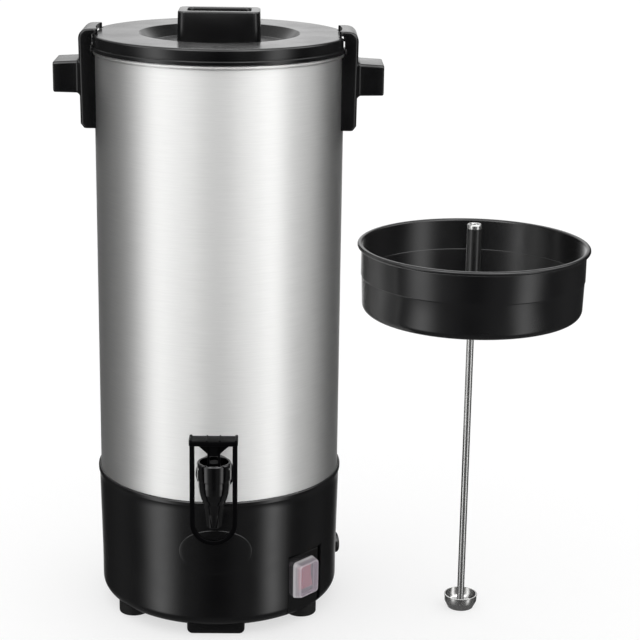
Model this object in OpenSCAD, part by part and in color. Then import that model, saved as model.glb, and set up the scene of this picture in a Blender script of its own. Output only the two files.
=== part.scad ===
// Coffee urn with a push tap, and its percolator basket standing beside it.
// Millimetres, +Z up. The origin is on the drum's axis, on the surface that the feet stand on.
// The front, where the tap is, faces -Y. Azimuths count from the front towards +X.

/* [Drum] */
// Outer radius of the steel drum
drum_r = 110; // [104:1:118]
// Height of the drum, from its seat in the base to the rolled rim
drum_h = 393.3; // [360:1:440]
// Wall of the drum
drum_wall = 0.8; // [0.6:0.1:1.2]
// Radius of the rolled rim's bead
bead_r = 1.7; // [1.4:0.1:2]

/* [Tank floor] */
// Height of the tank floor above the drum's lower edge
floor_rise = 17.8; // [16:0.1:24]
// Thickness of the tank floor
floor_t = 1; // [0.8:0.1:1.4]
// Inner radius of the heating well
well_r = 17.5; // [17:0.1:19]
// Depth of the heating well
well_depth = 14; // [10:1:15]

/* [Base] */
// Height of the moulded base, without its feet
base_h = 122.5; // [110:1:140]
// Wall of the base
base_wall = 2.5; // [2:0.1:3]
// How far the base's wall lies inside the drum's
base_inset = 0.2; // [0:0.1:1]
// Radius of the rounding at the bottom of the base
base_round = 12; // [8:1:16]
// Thickness of the bead that holds the drum
lip_w = 2.1; // [1.6:0.1:2.6]
// How deep the drum sits in the bead
lip_h = 9.3; // [8:0.1:11]
// Width of the oval pad on the front
pad_w = 66; // [50:1:72]
// Height of the oval pad
pad_h = 43; // [34:1:48]
// Height of the oval pad's centre above the base's lower edge
pad_rise = 74.5; // [60:1:80]
// How far the oval pad stands out
pad_proud = 0.8; // [0.4:0.1:1.2]
// Thickness of the plate that closes the base
cover_t = 2.5; // [2:0.1:3]

/* [Feet] */
// Height of the feet
foot_h = 9; // [8:0.5:14]
// Radius of a round foot
foot_r = 14; // [11:0.5:15]
// How far the centres of the round feet lie inside the edge of the flat bottom
foot_inset = 5.8; // [4.8:0.1:9.8]
// Azimuth of the two nearer round feet
foot_azimuth = 57; // [50:1:60]
// Width of the block foot under the tap
front_foot_w = 52; // [44:1:60]
// Depth of the block foot
front_foot_d = 24; // [20:1:28]
// How far the block foot stands out past the flat bottom
front_foot_out = 2.2; // [0.2:0.1:4.2]

/* [Handles] */
// Width of a handle's bracket
bracket_w = 50; // [44:1:54]
// Length of the bracket below the lid's edge
bracket_h = 87; // [80:1:96]
// Thickness of the bracket
bracket_t = 11.3; // [10:0.1:13]
// Height of the grip
grip_h = 28.5; // [24:0.5:32]
// Width of the grip
grip_w = 44; // [38:1:48]
// How far the grip stands out of its bracket
grip_reach = 23.2; // [18:0.2:30]
// Distance of the grip's top below the bracket's top
grip_drop = 28; // [25:0.5:32]
// Reach of the hook over the lid's edge, inside the drum's outer radius
hook_reach = 2.2; // [1.8:0.1:2.4]
// Thickness of the hook
hook_t = 4.2; // [3:0.1:6]

/* [Lid] */
// How far the lid's lower flange stands out beyond the drum
lid_flange_out = 3.2; // [2.6:0.1:3.8]
// Thickness of the lower flange
lid_flange_t = 3.4; // [2.6:0.1:4]
// Height of the lid above the rim of the drum
lid_h = 13.6; // [12:0.2:18]
// Wall of the lid
lid_wall = 2.4; // [2:0.1:2.8]
// Radius of the dish in the lid, at its top edge
dish_r = 70; // [62:1:74]
// Depth of the dish
dish_depth = 9.2; // [7:0.2:10]
// Depth of the skirt inside the drum
skirt_h = 12; // [9:0.5:16]
// Radius of the steam vent
vent_r = 1.8; // [1.2:0.1:2.5]
// Distance of the steam vent from the axis
vent_reach = 95; // [90:1:98]
// Turn that locks the lid, in degrees
lid_turn = 20; // [12:1:24]

/* [Knob] */
// Length of the knob
knob_l = 71; // [60:1:80]
// Width of the knob
knob_w = 42; // [34:1:46]
// Height of the knob above the lid
knob_rise = 20.2; // [16:0.2:26]
// Length of the pocket in the knob
pocket_l = 55; // [48:1:56]
// Width of the pocket in the knob
pocket_w = 27; // [22:1:30]
// Depth of the pocket
pocket_depth = 19; // [12:1:22]
// Distance between the knob's two screws
knob_screw_gap = 40; // [30:1:44]

/* [Tap] */
// Height of the tap's barrel above the tank floor
tap_rise = 20.5; // [19:0.5:30]
// Distance of the tap's upright axis from the drum
tap_reach = 26; // [25:0.5:34]
// Outer radius of the cup at its rim
cup_r = 14.8; // [14.4:0.1:15.6]
// Height of the cup's rim above the barrel's axis
cup_rise = 18.5; // [18.5:0.1:20]
// Wall of the cup
cup_wall = 2.4; // [2:0.1:2.6]
// Outer radius of the spout
spout_r = 6.4; // [6:0.1:7]
// Length of the spout below the barrel's axis
spout_drop = 41.5; // [36:0.5:46]
// Radius of the spout's bore
spout_bore_r = 4.5; // [3.5:0.1:4.8]
// Outer radius of the barrel
barrel_r = 9; // [8.5:0.1:10]
// Radius of the barrel's bore
barrel_bore_r = 5; // [4:0.1:5.2]
// Radius of the tap's flange
tap_flange_r = 17; // [16:0.2:20]
// Thickness of the tap's flange
tap_flange_t = 4; // [3:0.2:5]
// Thickness of the outer gasket
gasket_t = 3; // [2.5:0.1:4]
// Radius of the guide's collar ledge in the cup
chamber_r = 10.5; // [10:0.1:11]

/* [Tap valve] */
// Radius of the plunger's rod
rod_r = 2.5; // [2:0.1:2.6]
// Radius of the plunger's head
head_r = 5; // [4.8:0.1:5.2]
// Height of the valve seat below the barrel's axis
seat_drop = 17; // [15:0.5:18]
// Radius of the silicone seal
seal_r = 6.8; // [6:0.1:7]
// Thickness of the silicone seal
seal_t = 3.9; // [3:0.1:4.2]
// Wire of the valve spring
wire_d = 0.9; // [0.7:0.1:1.1]
// Turns of the valve spring
spring_turns = 6; // [4:1:8]

/* [Tap lever] */
// Width of the paddle
paddle_w = 41.6; // [40:0.2:50]
// Depth of the paddle
paddle_d = 16; // [14:0.5:20]
// Thickness of the paddle
paddle_t = 4.5; // [3:0.1:6]
// Height of the paddle's top above the barrel's axis
paddle_rise = 43.5; // [40:0.5:56]
// Thickness of the lever's side bars, across
bar_w = 4.2; // [3:0.1:5]
// Thickness of the lever's side bars, front to back
bar_d = 4; // [3:0.1:5]
// Gap between a side bar and the cup
bar_gap = 1.4; // [1:0.1:2.5]
// Drop of the loop's centre below the barrel's axis
loop_drop = 32.5; // [30:0.5:42]
// Distance of the pivot in front of the cup's axis
pivot_out = 5.5; // [5.2:0.1:5.8]
// Radius of the pivot pin
pin_r = 1.5; // [1.2:0.1:1.8]
// Swing of the lever, in degrees
lever_swing = 20; // [10:1:22]

/* [Switch] */
// Azimuth of the switch
switch_azimuth = 48; // [40:1:60]
// Height of the switch's centre above the base's lower edge
switch_rise = 34.7; // [30:0.5:50]
// Distance of the flat recess from the axis
recess_reach = 106; // [104:0.5:107]
// Width of the flat recess
recess_w = 44; // [40:1:50]
// Height of the recess's upper edge above the switch's centre
recess_up = 26.5; // [22:0.5:32]
// Width of the clear boot
boot_w = 28; // [26:0.5:32]
// Height of the clear boot
boot_h = 35; // [34:0.5:40]
// Depth of the clear boot
boot_d = 8; // [7.6:0.1:10]
// Wall of the clear boot
boot_wall = 1.2; // [0.8:0.1:1.4]
// Width of the rocker
rocker_w = 17; // [14:0.5:18]
// Length of the rocker
rocker_l = 23; // [20:0.5:24]
// Tilt of the rocker each way, in degrees
rocker_tilt = 7; // [5:0.5:8]

/* [Cord gland] */
// Azimuth of the cord gland
gland_azimuth = 104; // [95:1:180]
// Height of the gland above the base's lower edge
gland_rise = 28; // [24:1:50]
// Radius of the gland's head
gland_r = 10; // [9:0.5:14]
// How far the gland stands out of the base
gland_proud = 6; // [4:0.5:10]
// Radius of the gland's bore
gland_bore_r = 3.6; // [3:0.1:4.5]

/* [Percolator set] */
// Place of the set beside the urn, along X
set_x = 227; // [225:1:300]
// Place of the set beside the urn, along Y
set_y = -37; // [-80:1:0]
// Outer radius of the basket's rim
basket_r = 103.5; // [90:0.5:106]
// Depth of the basket
basket_h = 62; // [50:1:80]
// Wall of the basket
basket_wall = 1; // [0.8:0.1:1.4]
// Height of the basket's rim above the pump foot's lower edge
basket_top = 350; // [320:1:365]
// Height of the riser sleeve's tip above the basket's rim
riser_rise = 18; // [10:1:22]
// Radius of the riser sleeve
riser_r = 6.4; // [6:0.1:7]
// Radius of the post's foot part
post_r = 10.5; // [9.5:0.5:12]
// Height of the post's foot part
post_h = 17; // [12:1:22]
// Radius of the holes in the basket's floor
strainer_hole_r = 1.3; // [0.8:0.1:1.6]
// Rings of holes in the basket's floor
strainer_rings = 6; // [3:1:7]
// Outer radius of the pump tube
tube_r = 3.25; // [2.8:0.05:3.3]
// Wall of the pump tube
tube_wall = 0.8; // [0.5:0.1:1]
// Rim radius of the pump foot
pump_foot_r = 15.5; // [14.5:0.1:16.2]
// Height of the pump foot
pump_foot_h = 13; // [11:0.5:15]

/* [Hidden] */
$fn = 96;

// Clearances
touch = 0.05;      // between curved faces that are fixed together
slip = 0.1;        // round a shaft or a ring that turns or slides
seat_gap = 0.3;    // between a loose part and what it rests on
free_gap = 0.7;    // between parts that pass each other
saddle_fn = 720;   // facets of the cuts that shape thin saddles

// Levels of the body
base_z = foot_h;
base_top = base_z + base_h;
seat_z = base_top - lip_h;
drum_top = seat_z + drum_h;
floor_z = seat_z + floor_rise;
inner_r = drum_r - drum_wall;

// Base
base_r = drum_r - base_inset;
lip_inner_r = drum_r + seat_gap;
lip_r = lip_inner_r + lip_w;
lip_swell = 3;
ledge_w = 6;
ledge_t = 2.5;
base_flat_r = base_r - base_round;
foot_circle = base_flat_r - foot_inset;
front_foot_reach = base_flat_r + front_foot_out;
cover_r = base_flat_r - slip;
cover_top = base_z + cover_t;
column_r = 5;
column_h = 17;
screw_bite = 14;
screw_r = 2;
screw_head_r = 4;
screw_head_t = 2.4;
front_screw_x = 16;
front_screw_y = -front_foot_reach + front_foot_d / 2;
front_screw_reach = norm([front_screw_x, front_screw_y]);
front_screw_azimuth = atan2(front_screw_x, -front_screw_y);
round_feet = [for (a = [foot_azimuth, 180 - foot_azimuth]) for (s = [1, -1]) [s * a, foot_circle]];
front_screws = [for (s = [1, -1]) [s * front_screw_azimuth, front_screw_reach]];
stud_circle = 70;
stud_azimuths = [60, 180, 300];
stud_r = 2;

// Lid
flange_r = drum_r + lid_flange_out;
lid_r = flange_r - 1.2;
lid_seat = drum_top + seat_gap;
lid_flange_top = lid_seat + lid_flange_t;
lid_top = lid_seat + lid_h;
dish_z = lid_top - dish_depth;
dish_floor_r = dish_r - 8;
skirt_r = drum_r - 5.2;
skirt_wall = 2.2;
skirt_z = lid_seat - skirt_h;
liner_t = 0.8;
liner_z = dish_z - lid_wall - slip - liner_t;
knob_z = dish_z;
knob_top = lid_top + knob_rise;
vent_azimuth = 0;

// Hooks of the handles, and the notches in the lid that let them pass
hook_r = drum_r - hook_reach;
hook_z = lid_top + free_gap;
bracket_top = hook_z + hook_t;
bracket_z = bracket_top - bracket_h;
bracket_x = drum_r + bracket_t;
notch_r = hook_r - free_gap;
notch_half = asin((bracket_w / 2) / hook_r) + 1;
grip_top = bracket_top - grip_drop;
grip_z = grip_top - grip_h;
handle_screw_drops = [8, 22];

// Tap, in its own frame: origin where the barrel's axis meets the cup's axis
tap_y = -(drum_r + tap_reach);
tap_z = floor_z + tap_rise;
cup_inner_r = cup_r - cup_wall;
guide_z = 6;
guide_t = 2.5;
shank_r = barrel_r - 0.4;
shank_in = 12;
flange_back = tap_reach - gasket_t;
band_z = 0.5;
waist_z = -19.2;
waist_r = 9.4;
spout_taper_h = 9.5;
cup_flare_h = 10;
chamber_low_r = seal_r + 0.6;
pivot_z = cup_rise - 5;
nose_r = 2;
head_z = pivot_z + nose_r + seat_gap;
head_t = 2.2;
seal_z = -seat_drop + slip;
disc_t = 1.6;
disc_z = seal_z + seal_t;
bar_x = cup_r + bar_gap;
bar_y = -16;
hub_r = pin_r + 1.1;
hub_end = sqrt(pow(cup_inner_r - 0.4, 2) - pow(pivot_out + hub_r, 2)) - 0.1;
flank_in = 3.6;
flank_w = 2;
arm_t = 2.2;

// Switch, in its own frame: origin on the recess's flat face, +Z outwards, +Y up
switch_z = base_z + switch_rise;
bezel_w = rocker_w + 6;
bezel_l = rocker_l + 7;
bezel_t = 1.5;
switch_can_w = bezel_w - 2.6;
switch_can_l = bezel_l - 2.6;
switch_can_d = 22;
rocker_gap = 0.4;
rocker_pivot = -4;
rocker_arc = rocker_l / 2 + 0.6;

// Gland
gland_neck_r = gland_r - 3.2;
gland_z = base_z + gland_rise;

// Percolator set, heights from the pump foot's lower edge
basket_z = basket_top - basket_h;
basket_wall_r = basket_r - 3.6;
basket_taper = 1.4;
basket_bead_r = 1.95;
rim_drop = 0.4;
basket_corner = 7;
strainer_pitch = 9;
strainer_first_r = 22;
riser_top = basket_top + riser_rise;
ferrule_h = 4;
post_bore_r = tube_r + 0.35;
post_clip_r = 5.9;
collar_h = 5;
collar_r = 6;
plate_z = 2.6;
plate_t = 0.8;
foot_wall = 0.8;
washer_t = 0.8;
tube_top = riser_top - 1.5;

// Colours
black = [0.07, 0.07, 0.075];
steel = [0.76, 0.76, 0.77];
bright = [0.85, 0.85, 0.86];
silicone = [0.85, 0.83, 0.8];
rubber = [0.1, 0.1, 0.1];

// Points of an arc about (x, y)
function arc(x, y, r, a, b, n = 8) =
    [for (i = [0:n]) let (t = a + (b - a) * i / n) [x + r * cos(t), y + r * sin(t)]];

// Turns what is modelled at the front, on the -Y side, to an azimuth
module at_azimuth(a) rotate([0, 0, a]) children();

// Puts children at an azimuth and a distance from the axis
module at_polar(a, r) at_azimuth(a) translate([0, -r, 0]) children();

module at_tap() translate([0, tap_y, tap_z]) children();
module at_set() translate([set_x, set_y, 0]) children();
module at_switch() at_azimuth(switch_azimuth)
    translate([0, -recess_reach, switch_z]) rotate([90, 0, 0]) children();
module at_rocker() at_switch() translate([0, 0, rocker_pivot]) children();
module at_gland() at_azimuth(gland_azimuth) translate([0, 0, gland_z]) rotate([90, 0, 0]) children();

// Cylinder between two heights
module pillar(r, z0, z1) translate([0, 0, z0]) cylinder(r = r, h = z1 - z0);

// Ring between two heights
module ring(r0, r1, z0, z1) difference() {
    pillar(r1, z0, z1);
    pillar(r0, z0 - 1, z1 + 1);
}

// Rod along X, Y
module rod_x(r, x0, x1) translate([x0, 0, 0]) rotate([0, 90, 0]) cylinder(r = r, h = x1 - x0);
module rod_y(r, y0, y1) translate([0, y1, 0]) rotate([90, 0, 0]) cylinder(r = r, h = y1 - y0);

// Flat rectangle with round corners, centred
module round_rect(w, h, r) {
    square([w - 2 * r, h], center = true);
    square([w, h - 2 * r], center = true);
    for (x = [-1, 1]) for (y = [-1, 1]) translate([x * (w / 2 - r), y * (h / 2 - r)]) circle(r, $fn = 32);
}

// ---------------------------------------------------------------- body

module urn_drum() color(steel) difference() {
    union() {
        ring(inner_r, drum_r, seat_z, drum_top - bead_r);
        translate([0, 0, drum_top - bead_r]) rotate_extrude() translate([drum_r, 0]) circle(bead_r, $fn = 24);
    }
    at_tap() rod_y(shank_r + seat_gap, 0, tap_reach + drum_r / 2);
    for (s = [-1, 1]) for (d = handle_screw_drops) translate([0, 0, bracket_z + d])
        rod_x(screw_r + seat_gap, s < 0 ? -drum_r - 5 : drum_r - 20, s < 0 ? -drum_r + 20 : drum_r + 5);
}

fillet = 1.5;
module tank_floor() {
    floor_edge = inner_r - touch;
    corner = 5;
    color(bright) rotate_extrude() polygon(concat(
        [[0, floor_z - well_depth], [well_r, floor_z - well_depth], [well_r, floor_z - fillet],
            [well_r + fillet, floor_z], [floor_edge - corner, floor_z]],
        arc(floor_edge - corner, floor_z - corner, corner, 90, 0, 6),
        [[floor_edge, seat_z + 4], [floor_edge - floor_t, seat_z + 4]],
        arc(floor_edge - corner, floor_z - corner, corner - floor_t, 0, 90, 6),
        [[well_r + floor_t + fillet, floor_z - floor_t], [well_r + floor_t, floor_z - floor_t - fillet],
            [well_r + floor_t, floor_z - well_depth - floor_t], [0, floor_z - well_depth - floor_t]]));
}

heater_z = floor_z - floor_t;
spreader_t = 4;
boil_tube_r = 3.8;
boil_ring_r = well_r + floor_t + 8.5;
warm_tube_r = 3.3;
warm_ring_r = 58;
cold_end_l = 26;

module heat_spreader() color([0.8, 0.8, 0.82])
    ring(well_r + floor_t + fillet + touch, boil_ring_r + boil_tube_r + 3, heater_z - spreader_t, heater_z);

heater_pin_l = 8;
heater_opening = 20;
boil_start = 110;
warm_start = 195;
function heater_ends(start) = [start - heater_opening / 2, start + heater_opening / 2];

// Sheathed heater bent to an open ring, with both ends turned down to their terminals
module ring_heater(ring_r, tube_r, z, start) {
    translate([0, 0, z]) rotate([0, 0, heater_ends(start)[1] - 90])
        rotate_extrude(angle = 360 - heater_opening) translate([ring_r, 0]) circle(tube_r, $fn = 32);
    for (a = heater_ends(start)) at_polar(a, ring_r) {
        pillar(tube_r + 0.6, z - cold_end_l, z + tube_r - 0.4);
        pillar(tube_r / 2, z - cold_end_l - heater_pin_l, z - cold_end_l + 1);
    }
}

module boil_heater() color([0.45, 0.45, 0.46])
    ring_heater(boil_ring_r, boil_tube_r, heater_z - spreader_t - boil_tube_r, boil_start);

module warm_heater() color([0.5, 0.5, 0.5])
    ring_heater(warm_ring_r, warm_tube_r, heater_z - warm_tube_r, warm_start);

control_circle = 44;
thermostat_azimuth = 252;
fuse_azimuth = 207;
fuse_r = 2.2;
module thermostat() at_polar(thermostat_azimuth, control_circle) {
    color([0.75, 0.75, 0.76]) {
        pillar(8, heater_z - 4, heater_z);
        translate([0, 0, heater_z - 4]) linear_extrude(0.8) round_rect(24, 7, 3);
    }
    color(black) pillar(7.4, heater_z - 12, heater_z - 4);
    color("gold") for (s = [-1, 1]) translate([s * 4 - 0.4, -3, heater_z - 20]) cube([0.8, 6, 8]);
}

module thermal_fuse() at_polar(fuse_azimuth, control_circle) {
    fuse_z = heater_z - fuse_r - 0.7;
    color([0.8, 0.75, 0.6]) translate([0, 0, fuse_z]) {
        rod_x(fuse_r, -7, 7);
        rod_x(0.6, -16, 16);
    }
    color(steel) difference() {
        union() {
            translate([-1.5, -4.5, fuse_z - 3]) cube([3, 9, heater_z - fuse_z + 3]);
            translate([-1.5, -9, heater_z - 0.8]) cube([3, 18, 0.8]);
        }
        translate([0, 0, fuse_z]) rod_x(fuse_r + touch, -3, 3);
    }
}

block_azimuth = 150;
block_circle = 64;
block_size = [34, 20, 15];
block_ways = [-10, 0, 10];
block_dip = 6;
module terminal_block() at_polar(block_azimuth, block_circle) translate([0, 0, cover_top]) {
    color([0.9, 0.88, 0.8]) difference() {
        translate([-block_size[0] / 2, -block_size[1] / 2, 0]) cube(block_size);
        for (x = block_ways) translate([x, 0, block_size[2] - block_dip]) pillar(2.6, 0, 10);
        for (x = block_ways) translate([x, 0, 4]) rod_y(1.8, -15, 15);
    }
    color("gold") for (x = block_ways) translate([x, 0, block_size[2] - block_dip]) pillar(2.5, 0, 2);
}

// Insulated leads: two rings round the base, joined to the gland, the switch, the block and the heaters
wire_r = 1.2;
drop_r = 1.45;
bundle_r = 1.7;
wire_ring_r = 84;
wire_z = 62;
wire_step = 4;
ring_start = switch_azimuth - 4;
ring_turn = 236;
tag_x = 5;
tag_l = 8;
switch_tag_r = recess_reach - switch_can_d - tag_l;

// A lead from the ring at height z, inwards at offset x to radius r, and on to height end
module lead(a, x, r, z, end) at_azimuth(a) translate([x, 0, 0]) {
    side = end > z ? 1 : -1;
    translate([0, 0, z]) rod_y(wire_r, -sqrt(pow(wire_ring_r, 2) - pow(x, 2)), -r);
    translate([0, -r, 0]) pillar(drop_r, min(z - side * wire_r, end), max(z - side * wire_r, end));
}

module wiring() color([0.75, 0.72, 0.68]) {
    for (k = [0, 1]) {
        z = wire_z + wire_step * k;
        s = 2 * k - 1;
        translate([0, 0, z]) rotate([0, 0, ring_start - 90])
            rotate_extrude(angle = ring_turn) translate([wire_ring_r, 0]) circle(bundle_r, $fn = 24);
        lead(switch_azimuth, s * tag_x, switch_tag_r - drop_r - touch, z, switch_z);
        lead(gland_azimuth, s * 2, wire_ring_r - 4, z, gland_z);
        lead(block_azimuth, s * block_ways[2], block_circle, z, cover_top + block_size[2] - block_dip + 2);
    }
    for (a = heater_ends(boil_start)) lead(a, 0, boil_ring_r, wire_z,
        heater_z - spreader_t - boil_tube_r - cold_end_l - heater_pin_l);
    for (a = heater_ends(warm_start)) lead(a, 0, warm_ring_r, wire_z + wire_step,
        heater_z - warm_tube_r - cold_end_l - heater_pin_l);
}

stud_pad_r = 5;
stud_end = 5.4;
module tie_studs() color(steel) for (a = stud_azimuths) at_polar(a, stud_circle) {
    pillar(stud_r, base_z - stud_end, heater_z - 1.5);
    pillar(stud_pad_r, heater_z - 1.5, heater_z);
}

module tie_nuts() color(steel) for (a = stud_azimuths) at_polar(a, stud_circle) difference() {
    translate([0, 0, base_z - 3.2]) cylinder(r = 4, h = 3.2, $fn = 6);
    pillar(stud_r + touch, 0, base_z + 1);
}

// ---------------------------------------------------------------- base

// Outer form of the base, grown by g
module base_form(g = 0) rotate_extrude() polygon(concat(
    [[0, base_z - g]],
    arc(base_flat_r, base_z + base_round, base_round + g, -90, 0, 10),
    [[base_r + g, seat_z - lip_swell], [lip_r - 0.5 + g, seat_z + 1.2], [lip_r + g, seat_z + 3],
        [lip_r + g, base_top - 1.2], [lip_r - 1.2 + g, base_top + g], [0, base_top + g]]));

// Hollow of the base: wall below the ledge, and the drum's seat above it
module base_hollow() {
    rotate_extrude() polygon(concat(
        [[0, base_z - 1], [base_flat_r, base_z - 1]],
        arc(base_flat_r, base_z + base_round, base_round - base_wall, -90, 0, 8),
        [[base_r - base_wall, seat_z - ledge_t - 4], [base_r - ledge_w, seat_z - ledge_t],
            [base_r - ledge_w, base_top + 1], [0, base_top + 1]]));
    pillar(lip_inner_r, seat_z - touch, base_top + 1);
}

// Oval pad on the front
module oval_pad() intersection() {
    translate([0, -base_r / 2, base_z + pad_rise]) rotate([90, 0, 0]) linear_extrude(base_r)
        polygon([for (a = [0:7.5:359]) [pad_w / 2 * cos(a), pad_h / 2 * sin(a)]]);
    ring(base_r - 1, base_r + pad_proud, base_z, base_top);
}

// Box on the switch's face, from depth z0 to z1 along the outward normal
module face_box(w, y0, y1, z0, z1) translate([-w / 2, y0, z0]) cube([w, y1 - y0, z1 - z0]);

module base_shell() color(black) difference() {
    union() {
        difference() {
            base_form();
            base_hollow();
        }
        oval_pad();
        intersection() {
            base_form();
            at_switch() face_box(recess_w + 2 * base_wall, -switch_rise - 1, recess_up + base_wall,
                -base_wall, 20);
        }
        intersection() {
            base_form();
            for (p = concat(round_feet, front_screws)) at_polar(p[0], p[1]) {
                pillar(column_r, cover_top, cover_top + column_h);
                translate([-1.5, -(base_r - p[1]), cover_top]) cube([3, base_r - p[1], column_h - 3]);
            }
        }
    }
    at_switch() face_box(recess_w, -switch_rise - 2, recess_up, 0, 30);
    at_switch() face_box(switch_can_w + 2 * slip, -switch_can_l / 2 - slip, switch_can_l / 2 + slip, -10, 10);
    at_gland() pillar(gland_neck_r + slip, base_r - 10, base_r + 5);
    for (p = concat(round_feet, front_screws)) at_polar(p[0], p[1])
        pillar(screw_r + touch, cover_top - 1, cover_top + column_h - 1);
}

module base_cover() color(black) difference() {
    pillar(cover_r, base_z, cover_top);
    for (p = concat(round_feet, front_screws)) at_polar(p[0], p[1])
        pillar(screw_r + slip, base_z - 1, cover_top + 1);
    for (a = stud_azimuths) at_polar(a, stud_circle) pillar(stud_r + slip, base_z - 1, cover_top + 1);
    for (a = [0:30:330]) at_polar(a, 34) translate([-1.5, -9, base_z - 1]) cube([3, 18, cover_t + 2]);
}

// A foot seated on the base's outer form, with a counterbore for its screw
module foot_blank() difference() {
    children();
    base_form(touch);
}

module rubber_feet() color(rubber) for (p = round_feet) difference() {
    foot_blank() at_polar(p[0], p[1]) {
        pillar(foot_r, 1.5, foot_h + base_round / 2);
        translate([0, 0, 0]) cylinder(r1 = foot_r - 1.5, r2 = foot_r, h = 1.5);
    }
    at_polar(p[0], p[1]) pillar(screw_head_r + 1, -1, foot_h / 2);
    at_polar(p[0], p[1]) pillar(screw_r + slip, 0, foot_h + base_round);
}

module front_foot() color(black) difference() {
    foot_blank() translate([0, -front_foot_reach + front_foot_d, 0]) rotate([90, 0, 0])
        linear_extrude(front_foot_d) {
            corner = 5;
            polygon(concat(
                arc(front_foot_w / 2 - corner, corner, corner, -90, 0, 6),
                [[front_foot_w / 2, foot_h + base_round / 2], [-front_foot_w / 2, foot_h + base_round / 2]],
                arc(-front_foot_w / 2 + corner, corner, corner, 180, 270, 6)));
        }
    for (p = front_screws) at_polar(p[0], p[1]) pillar(screw_head_r + 1, -1, foot_h / 2);
    for (p = front_screws) at_polar(p[0], p[1]) pillar(screw_r + slip, 0, foot_h + base_round);
}

// Pan-head screw pointing up, with its head's seat at height z
module screw_up(z, l) difference() {
    union() {
        pillar(screw_r, z, z + l);
        pillar(screw_head_r, z - screw_head_t, z);
    }
    translate([-0.5, -3, z - screw_head_t - 1]) cube([1, 6, 1.8]);
    translate([-3, -0.5, z - screw_head_t - 1]) cube([6, 1, 1.8]);
}

module foot_screws() color(steel) for (p = concat(round_feet, front_screws)) at_polar(p[0], p[1])
    screw_up(foot_h / 2, foot_h / 2 + cover_t + screw_bite);

module cord_gland() color(black) difference() {
    union() {
        difference() {
            at_gland() pillar(gland_r, base_r - 4, base_r + gland_proud);
            pillar(base_r + touch, base_z, base_top);
        }
        at_gland() pillar(gland_neck_r, base_r - base_wall - 7, base_r + 1);
    }
    at_gland() pillar(gland_bore_r, base_r - 30, base_r + 30);
}

module gland_nut() color(black) difference() {
    at_gland() translate([0, 0, base_r - base_wall - 6]) cylinder(r = gland_r + 1, h = 5, $fn = 6);
    at_gland() pillar(gland_neck_r + touch, base_r - 30, base_r);
}

// ---------------------------------------------------------------- switch

module switch_body() color(black) at_switch() difference() {
    union() {
        linear_extrude(bezel_t) round_rect(bezel_w, bezel_l, 1.5);
        face_box(switch_can_w, -switch_can_l / 2, switch_can_l / 2, -switch_can_d, 0.5);
        for (x = [-tag_x, tag_x]) translate([x - 0.4, -3, -switch_can_d - tag_l]) cube([0.8, 6, tag_l + 0.2]);
    }
    face_box(rocker_w + 2 * rocker_gap, -rocker_l / 2 - 1, rocker_l / 2 + 1, rocker_pivot, 10);
    translate([0, 0, rocker_pivot]) rod_x(rocker_arc + rocker_gap, -rocker_w / 2 - rocker_gap,
        rocker_w / 2 + rocker_gap);
}

// Rocker, tilted to its off side at rest; a drum about its pivot with two faces on top
module switch_rocker() color([0.8, 0.1, 0.12]) at_rocker() rotate([-rocker_tilt, 0, 0]) difference() {
    intersection() {
        rod_x(rocker_arc, -rocker_w / 2, rocker_w / 2);
        face_box(rocker_w + 1, -rocker_l / 2, rocker_l / 2, -rocker_arc, rocker_arc);
    }
    for (s = [-1, 1]) translate([0, 0, 5.2]) rotate([s * 6, 0, 0])
        translate([-rocker_w, s > 0 ? 0 : -rocker_l, 0]) cube([2 * rocker_w, rocker_l, rocker_l]);
}

// One form of the boot: a frustum with round corners, inset by g
module boot_form(g) hull() {
    linear_extrude(0.1) round_rect(boot_w - 2 * g, boot_h - 2 * g, 3.5 - g);
    translate([0, 0, boot_d - g - 0.1])
        linear_extrude(0.1) round_rect(boot_w - 2.6 - 2 * g, boot_h - 4 - 2 * g, 3.5 - g);
}

module switch_boot() color([0.9, 0.85, 0.87]) at_switch() translate([0, 0, slip]) difference() {
    boot_form(0);
    translate([0, 0, -0.01]) boot_form(boot_wall);
}

// ---------------------------------------------------------------- handles

// Handle on the +X side: bracket, hook over the lid's edge and block grip
module handle() difference() {
    union() {
        intersection() {
            translate([0, bracket_w / 2, 0]) rotate([90, 0, 0]) linear_extrude(bracket_w) polygon(concat(
                [[hook_r - 20, bracket_z], [bracket_x - 3, bracket_z], [bracket_x, bracket_z + 4]],
                arc(bracket_x - 9, bracket_top - 9, 9, 0, 90, 8),
                [[hook_r - 20, bracket_top]]));
            translate([bracket_x - 30, 0, bracket_z]) linear_extrude(bracket_h)
                round_rect(60, bracket_w, 3);
        }
        translate([bracket_x - 1, 0, grip_z + grip_h / 2]) rotate([0, 90, 0])
            linear_extrude(grip_reach + 1) round_rect(grip_h, grip_w, 2.5);
    }
    pillar(drum_r + touch, bracket_z - 1, hook_z - 4);
    pillar(drum_r + bead_r + seat_gap, drum_top - 2 * bead_r - 1, hook_z);
    pillar(flange_r + free_gap, lid_seat - free_gap - 1, lid_flange_top + free_gap);
    pillar(lid_r + free_gap, lid_seat, hook_z);
    pillar(hook_r, bracket_z - 1, bracket_top + 1);
    translate([drum_r - 30, -grip_w / 2 + 3.5, grip_z + 3.5])
        cube([30 + bracket_t + grip_reach - 3.5, grip_w - 7, grip_h - 7]);
    for (d = handle_screw_drops) translate([0, 0, bracket_z + d])
        rod_x(screw_r + touch, drum_r - 5, drum_r + bracket_t - 2);
}

module right_handle() color(black) handle();
module left_handle() color(black) mirror([1, 0, 0]) handle();

washer_x = inner_r - touch;
washer_w = 1.6;

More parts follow.
